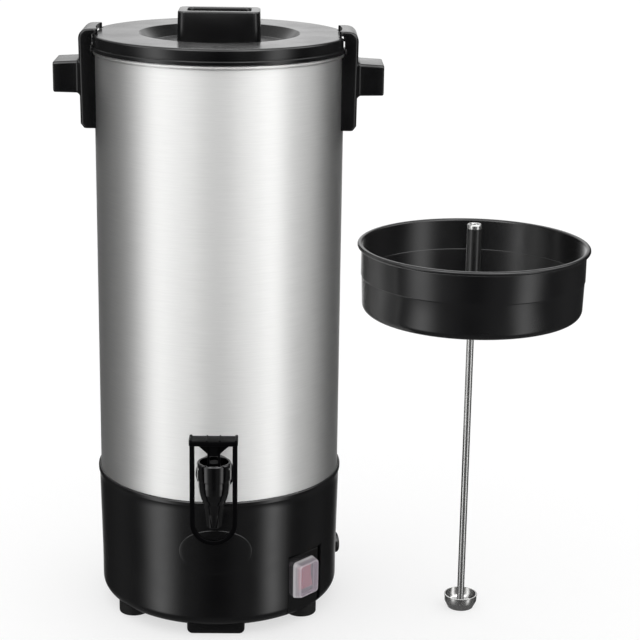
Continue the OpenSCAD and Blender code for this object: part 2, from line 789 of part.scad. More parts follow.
module handle_screws() color(steel) for (s = [0, 1]) mirror([s, 0, 0])
    for (d = handle_screw_drops) translate([0, 0, bracket_z + d]) difference() {
        union() {
            rod_x(screw_r, washer_x - washer_w - 1, drum_r + bracket_t - 3);
            rod_x(screw_head_r, washer_x - washer_w - screw_head_t - slip, washer_x - washer_w - slip);
        }
        translate([washer_x - washer_w - screw_head_t - 1, -0.5, -3]) cube([1.8, 1, 6]);
    }

module handle_washers() color(silicone) for (s = [0, 1]) mirror([s, 0, 0])
    for (d = handle_screw_drops) translate([0, 0, bracket_z + d]) intersection() {
        difference() {
            rod_x(screw_head_r + 1.5, washer_x - washer_w, washer_x + 2);
            rod_x(screw_r + touch, 0, washer_x + 3);
        }
        pillar(washer_x, -10, 10, $fn = saddle_fn);
    }

// ---------------------------------------------------------------- tap

// Outline of the cup and spout about the tap's upright axis
cup_outline = [
    [0, -spout_drop], [spout_r - 0.5, -spout_drop], [spout_r, -spout_drop + 0.8],
    [waist_r - 1.8, waist_z - spout_taper_h], [waist_r, waist_z], [waist_r + 1.9, waist_z + 4.4],
    [cup_r - 1.9, waist_z + cup_flare_h], [cup_r - 1, band_z - 3.5], [cup_r - 0.8, band_z],
    [cup_r - 0.3, band_z + 0.4], [cup_r, cup_rise - 1], [cup_r - 0.8, cup_rise], [0, cup_rise]];

module tap_body() color(black) at_tap() difference() {
    union() {
        rotate_extrude() polygon(cup_outline);
        rod_y(barrel_r, 0, flange_back - 1);
        rod_y(tap_flange_r, flange_back - tap_flange_t, flange_back);
        rod_y(shank_r, flange_back - 1, tap_reach + shank_in);
    }
    pillar(spout_bore_r, -spout_drop - 1, 0);
    rotate_extrude() polygon([[0, -seat_drop], [chamber_low_r, -seat_drop],
        [chamber_low_r, -seat_drop + 4], [chamber_r, -4], [chamber_r, guide_z], [0, guide_z]]);
    pillar(cup_inner_r, guide_z, cup_rise + 1);
    rod_y(barrel_bore_r, 0, tap_reach + shank_in + 1);
    translate([0, -pivot_out, pivot_z]) rod_x(pin_r + touch, -cup_r - 1, cup_r + 1);
}

module tap_gasket() color(silicone) difference() {
    at_tap() difference() {
        rod_y(tap_flange_r - 1.5, flange_back, tap_reach + 4);
        rod_y(shank_r + slip, flange_back - 1, tap_reach + 5);
    }
    pillar(drum_r + touch, floor_z - 20, drum_top, $fn = saddle_fn);
}

inner_gasket_t = 3.6;
module tap_inner_gasket() color(silicone) intersection() {
    at_tap() difference() {
        rod_y(shank_r + 5.4, tap_reach - 2, tap_reach + drum_wall + inner_gasket_t);
        rod_y(shank_r + slip, 0, tap_reach + 20);
    }
    pillar(inner_r - touch, floor_z, drum_top, $fn = saddle_fn);
}

module tap_nut() color(black) at_tap() difference() {
    translate([0, tap_reach + drum_wall + inner_gasket_t + 6.1, 0]) rotate([90, 0, 0])
        cylinder(r = shank_r + 6.4, h = 6, $fn = 6);
    rod_y(shank_r + touch, 0, tap_reach + 20);
}

module tap_guide() color(black) at_tap() ring(rod_r + slip, cup_inner_r - touch, guide_z, guide_z + guide_t);

module tap_plunger() color([0.85, 0.85, 0.83]) at_tap() {
    pillar(rod_r, seal_z + 1, head_z + 0.1);
    pillar(head_r, head_z, head_z + head_t);
    pillar(seal_r - 1, disc_z, disc_z + disc_t);
}

module tap_seal() color(silicone) at_tap() difference() {
    union() {
        pillar(seal_r, seal_z, disc_z - 1);
        translate([0, 0, disc_z - 1]) cylinder(r1 = seal_r, r2 = seal_r - 1, h = 1);
    }
    pillar(rod_r + touch, seal_z + 1 - touch, disc_z + 1);
}

// Wire along a helix from the plunger's disc to the guide
spring_r = rod_r + wire_d / 2 + 0.9;
spring_low = disc_z + disc_t + wire_d / 2 + touch;
spring_high = guide_z - wire_d / 2 - touch;
spring_steps = 18;
wire_sides = 8;
function spring_point(i, k) = let (
    n = spring_turns * spring_steps,
    turn = 360 * i / spring_steps,
    t = i / n,
    end_turns = 1 / spring_turns,
    rise = min(1, max(0, (t - end_turns / 2) / (1 - end_turns))),
    r = spring_r + wire_d / 2 * cos(360 * k / wire_sides),
    z = spring_low + (spring_high - spring_low) * (0.12 * t + 0.88 * rise)
        + wire_d / 2 * sin(360 * k / wire_sides))
    [r * cos(turn), r * sin(turn), z];

module tap_spring() color(steel) at_tap() {
    n = spring_turns * spring_steps;
    m = wire_sides;
    polyhedron(
        points = [for (i = [0:n]) for (k = [0:m - 1]) spring_point(i, k)],
        faces = concat(
            [[for (k = [0:m - 1]) k]],
            [for (i = [0:n - 1]) for (k = [0:m - 1]) [i * m + k, (i + 1) * m + k,
                (i + 1) * m + (k + 1) % m, i * m + (k + 1) % m]],
            [[for (k = [m - 1:-1:0]) n * m + k]]));
}

// Lever: paddle on top, a loop frame that passes either side of the cup and under the spout,
// and two flanks that reach down to the pivot and the fork under the plunger's head
module tap_lever() color(black) at_tap() difference() {
    paddle_z = paddle_rise - paddle_t;
    flank_y = -pivot_out - 3.1;
    flank_back = -head_r - 0.5;
    union() {
        translate([-paddle_w / 2, bar_y - (paddle_d - bar_d) / 3, paddle_z]) cube([paddle_w, paddle_d, paddle_t]);
        for (x = [-paddle_w / 2 + 1.3, paddle_w / 2 - 1.3])
            translate([x - 1.3, bar_y - (paddle_d - bar_d) / 3, paddle_rise]) cube([2.6, paddle_d, 1]);
        for (x = [-5.5, 5.5])
            translate([x - 0.8, bar_y - (paddle_d - bar_d) / 3, paddle_rise]) cube([1.6, paddle_d, 0.8]);
        translate([0, bar_y + bar_d, 0]) rotate([90, 0, 0]) linear_extrude(bar_d) {
            for (s = [-1, 1]) translate([s > 0 ? bar_x : -bar_x - bar_w, -loop_drop])
                square([bar_w, paddle_z + loop_drop]);
            translate([0, -loop_drop]) difference() {
                circle(bar_x + bar_w);
                circle(bar_x);
                translate([-50, 0]) square([100, 50]);
            }
        }
        translate([0, flank_y + 2.6, 0]) rotate([90, 0, 0]) linear_extrude(2.6)
            polygon([[-bar_x, paddle_z], [-bar_x + 2, paddle_z - 2.5], [-flank_in - flank_w - 1.5, paddle_z - 9],
                [-flank_in, paddle_z - 13], [flank_in, paddle_z - 13],
                [flank_in + flank_w + 1.5, paddle_z - 9], [bar_x - 2, paddle_z - 2.5], [bar_x, paddle_z]]);
        for (s = [0, 1]) mirror([s, 0, 0]) {
            translate([flank_in, flank_y, pivot_z - 1])
                cube([flank_w, flank_back - flank_y, paddle_z - pivot_z + 1]);
            translate([0, -pivot_out, pivot_z]) rod_x(hub_r, flank_in, hub_end);
            translate([flank_in - 0.3, -pivot_out, pivot_z - arm_t / 2]) cube([flank_w + 0.3, pivot_out, arm_t]);
            translate([0, 0, pivot_z]) rod_x(nose_r, flank_in - 0.3, flank_in + flank_w);
        }
    }
    translate([0, -pivot_out, pivot_z]) rod_x(pin_r + touch, -cup_r, cup_r);
}

module lever_pin() color(steel) at_tap() translate([0, -pivot_out, pivot_z])
    rod_x(pin_r, -cup_r + 1.4, cup_r - 1.4);

// ---------------------------------------------------------------- lid

// Room for a hook: a sector of ring at each side, grown inwards by g and sideways by a
module hook_notches(g, a) for (side = [0, 180]) rotate([0, 0, side - notch_half - a])
    rotate_extrude(angle = 2 * (notch_half + a)) translate([notch_r - g, skirt_z - 5]) square([30, 60]);

module lid_shell() color(black) difference() {
    inner_top = lid_top - lid_wall;
    difference() {
        rotate_extrude() polygon(concat(
            [[0, dish_z - lid_wall], [skirt_r - skirt_wall, dish_z - lid_wall],
                [skirt_r - skirt_wall, skirt_z], [skirt_r, skirt_z],
                [skirt_r, lid_seat], [flange_r - 0.6, lid_seat], [flange_r, lid_seat + 0.6],
                [flange_r, lid_flange_top - 0.6], [flange_r - 0.6, lid_flange_top],
                [lid_r - 0.6, lid_flange_top], [lid_r - 0.6, lid_flange_top + 1], [lid_r, lid_flange_top + 1]],
            arc(lid_r - 2.2, lid_top - 2, 2, 0, 90, 5),
            [[dish_r + 1, lid_top]],
            arc(dish_r + 1, lid_top - 1, 1, 90, 150, 3),
            arc(dish_floor_r - 1, dish_z + 1, 1, -30, -90, 3),
            [[0, dish_z]]));
        hook_notches(0, 0);
    }
    difference() {
        rotate_extrude() polygon([
            [dish_floor_r + 1.5, dish_z - lid_wall - 0.1], [dish_r + 1.5, inner_top],
            [skirt_r - skirt_wall, inner_top], [skirt_r - skirt_wall, dish_z - lid_wall - 0.1]]);
        hook_notches(lid_wall, 1.3);
    }
    difference() {
        rotate_extrude() polygon([[skirt_r, lid_seat - 1], [skirt_r, inner_top], [lid_r - lid_wall, inner_top],
            [lid_r - lid_wall, lid_seat - 1]]);
        hook_notches(lid_wall, 1.3);
    }
    at_polar(vent_azimuth, vent_reach) {
        pillar(vent_r, skirt_z, lid_top + 1);
        translate([0, 0, lid_top - 0.8]) cylinder(r1 = vent_r, r2 = vent_r + 1.2, h = 0.81);
    }
    for (s = [-1, 1]) translate([s * knob_screw_gap / 2, 0, 0]) pillar(screw_r + slip, dish_z - 10, dish_z + 5);
}

module lid_knob() color(black) difference() {
    translate([0, 0, knob_z]) linear_extrude(knob_top - knob_z) round_rect(knob_l, knob_w, 7);
    translate([0, 0, knob_top - pocket_depth]) linear_extrude(pocket_depth + 1) round_rect(pocket_l, pocket_w, 5);
    for (s = [-1, 1]) translate([s * knob_screw_gap / 2, 0, 0])
        pillar(screw_r + touch, knob_z - 1, knob_top - pocket_depth - 2);
}

liner_r = skirt_r - skirt_wall - seat_gap;
module lid_liner() color(bright) difference() {
    pillar(liner_r, liner_z, liner_z + liner_t);
    for (s = [-1, 1]) translate([s * knob_screw_gap / 2, 0, 0]) pillar(screw_r + slip, liner_z - 1, liner_z + 2);
    at_polar(vent_azimuth, vent_reach) pillar(vent_r, liner_z - 1, liner_z + 2);
}

module knob_screws() color(steel) for (s = [-1, 1]) translate([s * knob_screw_gap / 2, 0, 0])
    screw_up(liner_z, knob_top - pocket_depth - 3 - liner_z);

lid_seal_t = 2.3;
lid_seal_h = 5;
module lid_seal() color(silicone)
    ring(skirt_r + slip, skirt_r + slip + lid_seal_t, skirt_z + 2, skirt_z + 2 + lid_seal_h);

// ---------------------------------------------------------------- percolator set

basket_mid = basket_z + basket_h / 2 + 2;
module basket() color(black) at_set() difference() {
    low_r = basket_wall_r - basket_taper;
    union() {
        rotate_extrude() polygon(concat(
            [[0, basket_z], [low_r - basket_corner, basket_z]],
            arc(low_r - basket_corner, basket_z + basket_corner, basket_corner, -90, 0, 6),
            [[basket_wall_r - 0.6, basket_mid - 0.6], [basket_wall_r, basket_mid],
                [basket_wall_r, basket_top - rim_drop - basket_wall],
                [basket_r - basket_bead_r, basket_top - rim_drop - basket_wall],
                [basket_r - basket_bead_r, basket_top - rim_drop],
                [basket_wall_r - basket_wall, basket_top - rim_drop],
                [basket_wall_r - basket_wall, basket_mid + 0.4],
                [basket_wall_r - basket_wall - 0.6, basket_mid - 0.2]],
            arc(low_r - basket_corner, basket_z + basket_corner, basket_corner - basket_wall, 0, -90, 6),
            [[0, basket_z + basket_wall]]));
        translate([0, 0, basket_top - basket_bead_r]) rotate_extrude()
            translate([basket_r - basket_bead_r, 0]) circle(basket_bead_r, $fn = 24);
    }
    pillar(post_clip_r + slip, basket_z - 1, basket_z + 5);
    for (i = [0:strainer_rings - 1]) {
        r = strainer_first_r + strainer_pitch * i;
        n = 12 + 6 * i;
        for (k = [0:n - 1]) rotate([0, 0, 360 * (k + i % 2 / 2) / n]) translate([r, 0, 0])
            pillar(strainer_hole_r, basket_z - 1, basket_z + 3, $fn = 16);
    }
}

module basket_post() color([0.09, 0.09, 0.1]) at_set() {
    floor_top = basket_z + basket_wall;
    shoulder = floor_top + post_h;
    neck_r = riser_r + 1.2;
    rotate_extrude() polygon([
        [post_bore_r, basket_z - 3], [post_clip_r - 0.8, basket_z - 3], [post_clip_r, basket_z - 2],
        [post_clip_r, floor_top], [post_r + 3, floor_top], [post_r + 3, floor_top + 1.2],
        [post_r, floor_top + 1.8], [post_r - 0.6, shoulder], [neck_r, shoulder + 2],
        [neck_r - 0.3, shoulder + 8], [riser_r, shoulder + 9], [riser_r, riser_top - ferrule_h],
        [post_bore_r, riser_top - ferrule_h]]);
}

module sleeve_ferrule() color(bright) at_set() rotate_extrude() polygon([
    [post_bore_r, riser_top - ferrule_h], [riser_r, riser_top - ferrule_h], [riser_r, riser_top - 0.8],
    [riser_r - 0.8, riser_top], [post_bore_r + 1, riser_top], [post_bore_r, riser_top - 0.8]]);

module pump_tube() color(bright) at_set() ring(tube_r - tube_wall, tube_r, plate_z + plate_t, tube_top);

module tube_collar() color(bright) at_set()
    ring(tube_r + touch, collar_r, basket_z - 3 - collar_h - slip, basket_z - 3 - slip);

// Foot cup: a bowl with a pierced plate, and a lip below that keeps the loose washer
module pump_foot() color(bright) at_set() difference() {
    plate_top = plate_z + plate_t;
    low_r = pump_foot_r - 3.5;
    union() {
        rotate_extrude() polygon([
            [low_r - 2.4, 0], [low_r - 0.6, 0], [low_r, 0.6], [low_r + 1, plate_z], [pump_foot_r - 0.6, 6.5],
            [pump_foot_r - 0.4, pump_foot_h - 1], [pump_foot_r, pump_foot_h - 0.6], [pump_foot_r, pump_foot_h],
            [pump_foot_r - foot_wall - 0.4, pump_foot_h], [pump_foot_r - foot_wall - 0.4, 7],
            [low_r, plate_top], [tube_r, plate_top],
            [tube_r - tube_wall, plate_top], [tube_r - tube_wall, plate_z],
            [low_r - 0.9, plate_z], [low_r - 0.9, 0.8], [low_r - 2.4, 0.8]]);
        ring(tube_r + touch, tube_r + 1.6, plate_top - 0.1, plate_top + 4);
    }
    for (a = [45:90:315]) rotate([0, 0, a]) translate([pump_foot_r / 2, 0, 0])
        pillar(1.4, plate_z - 0.5, plate_top + 1, $fn = 24);
}

module valve_washer() color(silicone) at_set()
    ring(tube_r + 1, pump_foot_r - 3.5 - 1.3, 0.8 + slip, 0.8 + slip + washer_t);

// ---------------------------------------------------------------- assembly

urn_drum();
tank_floor();
heat_spreader();
boil_heater();
warm_heater();
thermostat();
thermal_fuse();
terminal_block();
wiring();
tie_studs();
tie_nuts();
base_shell();
base_cover();
rubber_feet();
front_foot();
foot_screws();
cord_gland();
gland_nut();
switch_body();
switch_rocker();
switch_boot();
left_handle();
right_handle();
handle_screws();
handle_washers();
tap_body();
tap_gasket();
tap_inner_gasket();
tap_nut();
tap_guide();
tap_plunger();
tap_seal();
tap_spring();
tap_lever();
lever_pin();
lid_shell();
lid_knob();
lid_liner();
lid_seal();
knob_screws();
basket();
basket_post();
sleeve_ferrule();
pump_tube();
tube_collar();
pump_foot();
valve_washer();
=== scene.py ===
# %% [markdown]
# # A coffee urn with its brewing basket
# The urn is a brushed steel drum on a black moulded base, with a tap in front, two block handles
# and a lid that hooks under them. Beside it stands the brewing basket on its pump stem.
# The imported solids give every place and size, so the first step loads them as a fixed frame.
# Each later step dresses one piece, with the piece's axis and heights taken from those solids.

# %% The frame
import math

import bmesh
import bpy
import numpy as np
from mathutils import Matrix, Vector
from mathutils.geometry import delaunay_2d_cdt


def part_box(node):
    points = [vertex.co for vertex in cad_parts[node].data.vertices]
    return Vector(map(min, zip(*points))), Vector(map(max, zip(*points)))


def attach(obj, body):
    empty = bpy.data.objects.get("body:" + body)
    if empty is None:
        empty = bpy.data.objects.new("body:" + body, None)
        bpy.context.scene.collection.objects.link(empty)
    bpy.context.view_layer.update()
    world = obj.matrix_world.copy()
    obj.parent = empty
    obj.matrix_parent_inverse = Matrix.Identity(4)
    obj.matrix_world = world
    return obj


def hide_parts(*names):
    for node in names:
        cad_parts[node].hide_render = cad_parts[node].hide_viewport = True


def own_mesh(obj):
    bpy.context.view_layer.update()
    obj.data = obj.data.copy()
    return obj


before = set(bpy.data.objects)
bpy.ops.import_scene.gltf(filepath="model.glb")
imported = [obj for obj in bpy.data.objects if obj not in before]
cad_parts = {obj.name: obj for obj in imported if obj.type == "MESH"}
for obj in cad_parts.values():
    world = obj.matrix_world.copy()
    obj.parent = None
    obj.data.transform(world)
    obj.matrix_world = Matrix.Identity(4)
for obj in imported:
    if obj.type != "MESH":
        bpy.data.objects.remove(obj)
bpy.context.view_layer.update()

MM = 0.001

# %% [markdown]
# ## The camera
# The viewpoint stands a little to the right of the urn and well above it, and looks down by
# about sixteen degrees through a long lens. A long lens keeps the sides of the drum nearly
# parallel. The camera could be aimed with a constraint, but three axes written out as a matrix
# also hold the slight roll.

# %% The camera
HEADING, PITCH, ROLL, LENS = math.radians(1.226), math.radians(15.935), 0.0152, 104.197
eye = Vector((57.1, -1634.9, 734.4)) * MM
ahead = Vector((math.sin(HEADING) * math.cos(PITCH), math.cos(HEADING) * math.cos(PITCH), -math.sin(PITCH)))
level = Vector((math.cos(HEADING), -math.sin(HEADING), 0))
upright = level.cross(ahead)
side = math.cos(ROLL) * level + math.sin(ROLL) * upright
top = math.cos(ROLL) * upright - math.sin(ROLL) * level

camera = bpy.data.objects.new("camera", bpy.data.cameras.new("camera"))
camera.data.sensor_width = 36
camera.data.lens = LENS
camera.matrix_world = Matrix((side, top, -ahead)).transposed().to_4x4()
camera.location = eye
bpy.context.scene.collection.objects.link(camera)
bpy.context.scene.camera = camera
print("camera at", [round(v, 3) for v in eye])

# %% [markdown]
# ## Outlines
# Most pieces of an urn are turned, moulded or bent from a flat outline, so an outline comes
# first. A corner that came out of a mould or a press is never sharp. `rounded` swaps each corner
# for an arc, which catches the thin line of light that tells the eye where an edge is.

# %% Outlines with rounded corners
def rounded(corners, steps=5):
    """Closed outline through corners (x, y, radius).

    Each corner becomes an arc that touches both of its sides: the arc starts radius / tan(half the
    corner's angle) away from the corner, and its directions turn evenly from one side to the other.
    """
    given = np.array(corners, float)
    tip, radius = given[:, :2], given[:, 2]
    back, on = np.roll(tip, 1, 0) - tip, np.roll(tip, -1, 0) - tip
    back /= np.linalg.norm(back, axis=1)[:, None]
    on /= np.linalg.norm(on, axis=1)[:, None]
    half = np.arccos(np.clip((back * on).sum(1), -1, 1)) / 2
    middle = (back + on) / np.maximum(np.linalg.norm(back + on, axis=1), 1e-9)[:, None]
    centre = tip + middle * (radius / np.sin(half))[:, None]
    first = tip + back * (radius / np.tan(half))[:, None] - centre
    last = tip + on * (radius / np.tan(half))[:, None] - centre
    turn = np.maximum(math.pi - 2 * half, 1e-6)[:, None, None]
    t = np.linspace(0, 1, steps + 1)[None, :, None]
    arcs = (np.sin((1 - t) * turn) * first[:, None] + np.sin(t * turn) * last[:, None]) / np.sin(turn)
    return (centre[:, None] + arcs).reshape(-1, 2)


def rounded_box(width, depth, radius, steps=6):
    """Outline of a width x depth rectangle with round corners, centred, anticlockwise."""
    x, y = width / 2, depth / 2
    return rounded([(x, -y, radius), (x, y, radius), (-x, y, radius), (-x, -y, radius)], steps)


def arc(x, y, radius, start, stop, steps=8):
    """Points (x + radius cos t, y + radius sin t) for t from start to stop, in degrees."""
    t = np.radians(np.linspace(start, stop, steps + 1))
    return np.stack([x + radius * np.cos(t), y + radius * np.sin(t)], 1)


def at_height(outline, z):
    """An outline's points (x, y) as a level ring (x, y, z)."""
    return np.column_stack([outline, np.full(len(outline), z)])


print("a rounded box has", len(rounded_box(20, 10, 2)), "points")

# %% [markdown]
# ## Surfaces
# A surface is a grid of points: one parameter runs along an outline, the other carries the
# outline round an axis or along a path. `sheet_of` joins a grid into quads and lays a UV map in
# metres over it, so that a brushed grain can follow the surface. `piece` makes the mesh, welds
# what meets and turns every face outwards. Shading is smooth, except across true edges.

# %% Surfaces from grids
def sheet_of(grid, loop_rows=True, loop_cols=True):
    """Points, quads and UV corners of a grid (rows, cols, 3) in mm.

    Quad (i, j) joins points (i, j), (i, j+1), (i+1, j+1) and (i+1, j). The UV map counts metres:
    u is the mean length along a row, v the mean length along a column.
    """
    rows, cols = grid.shape[:2]
    i, j = np.meshgrid(np.arange(rows if loop_rows else rows - 1),
                       np.arange(cols if loop_cols else cols - 1), indexing="ij")
    corner = [(i, j), (i, j + 1), (i + 1, j + 1), (i + 1, j)]
    quads = np.stack([a % rows * cols + b % cols for a, b in corner], -1).reshape(-1, 4)
    row_step = np.linalg.norm(np.roll(grid, -1, 1) - grid, axis=2).mean(0)
    col_step = np.linalg.norm(np.roll(grid, -1, 0) - grid, axis=2).mean(1)
    u = np.concatenate([[0], np.cumsum(row_step)]) * MM
    v = np.concatenate([[0], np.cumsum(col_step)]) * MM
    uv = np.stack([np.stack([u[b], v[a]], -1) for a, b in corner], -2).reshape(-1, 2)
    return grid.reshape(-1, 3), quads, uv


def piece(name, *sheets, sharp=38):
    """One mesh object from several sheets, welded, with outward faces, smooth up to sharp degrees."""
    points, faces, uvs, start = [], [], [], 0
    for spots, quads, uv in sheets:
        points.append(spots)
        faces += (quads + start).tolist()
        uvs.append(uv)
        start += len(spots)
    mesh = bpy.data.meshes.new(name)
    mesh.from_pydata(np.concatenate(points) * MM, [], faces)
    layer = mesh.uv_layers.new(name="surface")
    layer.data.foreach_set("uv", np.concatenate(uvs).astype(np.float32).ravel())
    work = bmesh.new()
    work.from_mesh(mesh)
    bmesh.ops.remove_doubles(work, verts=work.verts, dist=1e-6)
    bmesh.ops.dissolve_degenerate(work, dist=1e-7, edges=work.edges)
    bmesh.ops.recalc_face_normals(work, faces=work.faces)
    work.to_mesh(mesh)
    work.free()
    mesh.shade_smooth()
    mesh.set_sharp_from_angle(angle=math.radians(sharp))
    made = bpy.data.objects.new(name, mesh)
    bpy.context.scene.collection.objects.link(made)
    print(f"{name}: {len(mesh.polygons)} faces, {[round(v / MM, 1) for v in made.dimensions]} mm")
    return made


# %% [markdown]
# ## Turned and lofted forms
# A lathe surface suits the drum, the base and the lid. A loft through rings suits a grip or a knob,
# whose cut changes along its length. Both are grids, so one function each is enough, and a moulded
# block with soft edges is a loft too.

# %% Turned and lofted forms
def facing(axis):
    """Rotation whose third column is axis: the first two span the plane across it."""
    z = np.array(axis, float) / np.linalg.norm(axis)
    x = np.cross((0, 0, 1.0) if abs(z[2]) < 0.9 else (0, 1.0, 0), z)
    x /= np.linalg.norm(x)
    return np.stack([x, np.cross(z, x), z], 1)


def turned(profile, turns=128, centre=(0, 0, 0), axis=(0, 0, 1), change=None, azimuths=None, closed=True):
    """A profile (radius, height) turned about an axis: (r sin a, -r cos a, z), for a all round.

    change(a, r, z) may return other radii and heights, which presses notches or pads into the form.
    """
    a = np.linspace(0, 2 * math.pi, turns, endpoint=False) if azimuths is None else np.radians(azimuths)
    a, r = np.meshgrid(a, profile[:, 0])
    z = np.broadcast_to(profile[:, 1:2], a.shape)
    if change:
        r, z = change(a, r, z)
    grid = np.stack([r * np.sin(a), -r * np.cos(a), z], -1)
    if axis != (0, 0, 1):
        grid = grid @ facing(axis).T
    return sheet_of(grid + np.array(centre), loop_rows=closed)


def lofted(rings):
    """A closed skin over rings (n, m, 3): a point in the middle of the first and last closes the ends."""
    ends = [np.broadcast_to(ring.mean(0), ring.shape)[None] for ring in (rings[0], rings[-1])]
    return sheet_of(np.concatenate([ends[0], rings, ends[1]]), loop_rows=False)


def block(width, depth, low, high, corner=0.6, edge=0.5, draft=0.0, at=(0, 0), steps=4):
    """A moulded block: rounded boxes stacked from low to high.

    A ring at height z is pulled in by edge (1 - sin t) while z leaves either end by edge (1 - cos t),
    which rounds both rims, and by draft (z - low) / (high - low), which tapers it upwards.
    """
    t = np.linspace(0, math.pi / 2, steps + 1)
    pull = np.concatenate([edge * (1 - np.sin(t)), edge * (1 - np.sin(t))[::-1]])
    z = np.concatenate([low + edge * (1 - np.cos(t)), high - edge * (1 - np.cos(t))[::-1]])
    pull = pull + draft * (z - low) / (high - low)
    rings = [at_height(rounded_box(width - 2 * p, depth - 2 * p, max(corner - p, 0.1)) + np.array(at), h)
             for p, h in zip(pull, z)]
    return lofted(np.array(rings))


def moved(sheet, shift=(0, 0, 0), turn=None):
    """The same sheet turned by a 3 x 3 matrix and then moved."""
    spots = sheet[0] if turn is None else sheet[0] @ np.array(turn).T
    return spots + np.array(shift), sheet[1], sheet[2]


print("helpers ready")

# %% [markdown]
# ## Colour and nodes
# Hex colours are written as a screen shows them, but a shader counts light, so one function turns
# them to linear values. One small function adds a node with its settings and feeds. Every finish
# below is named for its real material and starts from that material's usual roughness. Most of
# them share two habits of real surfaces: a fine tooth, and a shine that drifts in wide clouds.

# %% Colour and nodes
def linear(code):
    """Linear colour of an sRGB hex code: c / 12.92 up to 0.04045, else ((c + 0.055) / 1.055) ** 2.4."""
    c = np.array([int(code[k:k + 2], 16) for k in (1, 3, 5)]) / 255
    return (*np.where(c <= 0.04045, c / 12.92, ((c + 0.055) / 1.055) ** 2.4).tolist(), 1.0)


def shifted(code, times=1.0, plus=0.0):
    """Linear colour of a hex code, times one number plus another, and held to 1."""
    return (*[min(c * times + plus, 1) for c in linear(code)[:3]], 1)


def node(tree, kind, feeds=None, **settings):
    """Adds a node. settings are its own fields; feeds gives an input a value or a socket that feeds it."""
    made = tree.nodes.new("ShaderNode" + kind)
    for key, value in settings.items():
        setattr(made, key, value)
    for key, value in (feeds or {}).items():
        if isinstance(value, bpy.types.NodeSocket):
            tree.links.new(value, made.inputs[key])
        else:
            made.inputs[key].default_value = value
    return made


def shader_of(name, **constants):
    """A new material with its Principled shader: underscores in a constant's name stand for spaces."""
    made = bpy.data.materials.new(name)
    made.use_nodes = True
    shader = made.node_tree.nodes["Principled BSDF"]
    for key, value in constants.items():
        shader.inputs[key.replace("_", " ")].default_value = value
    return made, made.node_tree, shader


def feed(tree, shader, **sources):
    """Links a socket to each named input of the shader, with underscores for spaces again."""
    for key, source in sources.items():
        tree.links.new(source, shader.inputs[key.replace("_", " ")])


def per_mm(size):
    """Noise scale, in waves per metre, whose features are about size millimetres across."""
    return 1 / (size * MM)


def toothed(tree, place, size, strength, depth):
    """Fine noise of `size` mm as a value, and as the normal of a bump `depth` mm deep."""
    fine = node(tree, "TexNoise", {"Vector": place, "Scale": per_mm(size), "Detail": 2.0}).outputs["Fac"]
    bump = node(tree, "Bump", {"Height": fine, "Strength": strength, "Distance": depth * MM})
    return fine, bump.outputs["Normal"]


def cloudy(tree, place, size, detail, low, high):
    """Clouds `size` mm wide: their noise value, and a roughness that drifts from low to high."""
    cloud = node(tree, "TexNoise", {"Vector": place, "Scale": per_mm(size), "Detail": detail}).outputs["Fac"]
    shine = node(tree, "MapRange", {"Value": cloud, "From Min": 0.3, "From Max": 0.7, "To Min": low,
                                    "To Max": high})
    return cloud, shine.outputs["Result"]


print("mid grey #808080 is", round(linear("#808080")[0], 3))

# %% [markdown]
# ## Moulded plastics and rubbers
# The base, lid, handles and tap are injection moulded. The steel mould was spark eroded to a fine
# grain, so the plastic is satin: a soft reflection over a deep black. Handling polishes it
# unevenly. The edges are painted a little lighter: partly wear, partly a painted highlight. One
# maker serves all of the moulded materials, with the grain size, the shine and the edge lightening
# of each.

# %% Moulded plastics and rubbers
def moulded(name, colour, rough, grain, depth, edge_wear_and_sheen=0.02, cloud=35, **constants):
    """Satin plastic: a grain of `grain` mm as bump, clouds of shine `cloud` mm wide, and edges painted paler,
    partly as wear and partly as a painted highlight.
    """
    made, tree, shader = shader_of(name, **constants)
    place = node(tree, "TexCoord").outputs["Object"]
    fine, bump = toothed(tree, place, grain, 0.5, depth)
    _, shine = cloudy(tree, place, cloud, 4.0, rough - 0.04, rough + 0.05)
    # Edges are painted lighter by pointiness: partly wear, partly a painted highlight.
    edge = node(tree, "NewGeometry").outputs["Pointiness"]
    worn_and_lit_edge = node(tree, "MapRange", {"Value": edge, "From Min": 0.51, "From Max": 0.6})
    tint = node(tree, "Mix", {0: worn_and_lit_edge.outputs["Result"], 6: linear(colour), 7: shifted(colour, plus=edge_wear_and_sheen)},
                data_type="RGBA")
    tone = node(tree, "Mix", {0: fine, 6: tint.outputs[2], 7: shifted(colour, 0.8)}, data_type="RGBA")
    feed(tree, shader, Base_Color=tone.outputs[2], Roughness=shine, Normal=bump)
    return made


# Polypropylene from a spark-eroded mould. Real grain is 0.1 mm; 0.8 mm still shows as a soft bloom.
polypropylene = moulded("polypropylene_black_satin", "#060607", 0.2, 0.8, 0.003, edge_wear_and_sheen=0.006, IOR=1.49)
# The tap is the same plastic from a polished mould, so its highlights are tighter.
polypropylene_gloss = moulded("polypropylene_black_polished", "#060607", 0.13, 1.2, 0.002, edge_wear_and_sheen=0.006,
                              IOR=1.49)
# The lever is handled and pushed by cups, so its mould is left coarser and it stays dull.
polypropylene_matt = moulded("polypropylene_black_matt", "#050506", 0.4, 0.8, 0.003, edge_wear_and_sheen=0.003, IOR=1.49,
                             Specular_IOR_Level=0.04)
# Glass-filled polyamide, matt and slightly mottled, for the post that stands in hot coffee.
polyamide = moulded("polyamide_black", "#0c0c0c", 0.3, 0.5, 0.006, cloud=12, IOR=1.53)
# Vulcanised rubber: dull, with a dusty bloom.
rubber = moulded("rubber_black", "#0e0e0e", 0.7, 0.6, 0.02, edge_wear_and_sheen=0.01, cloud=8, IOR=1.5,
                 Specular_IOR_Level=0.25)
# Food-grade silicone for seals, slightly translucent, with a matt skin.
silicone = moulded("silicone_seal", "#c6c1b8", 0.5, 0.6, 0.01, cloud=9, IOR=1.41, Subsurface_Weight=0.1)
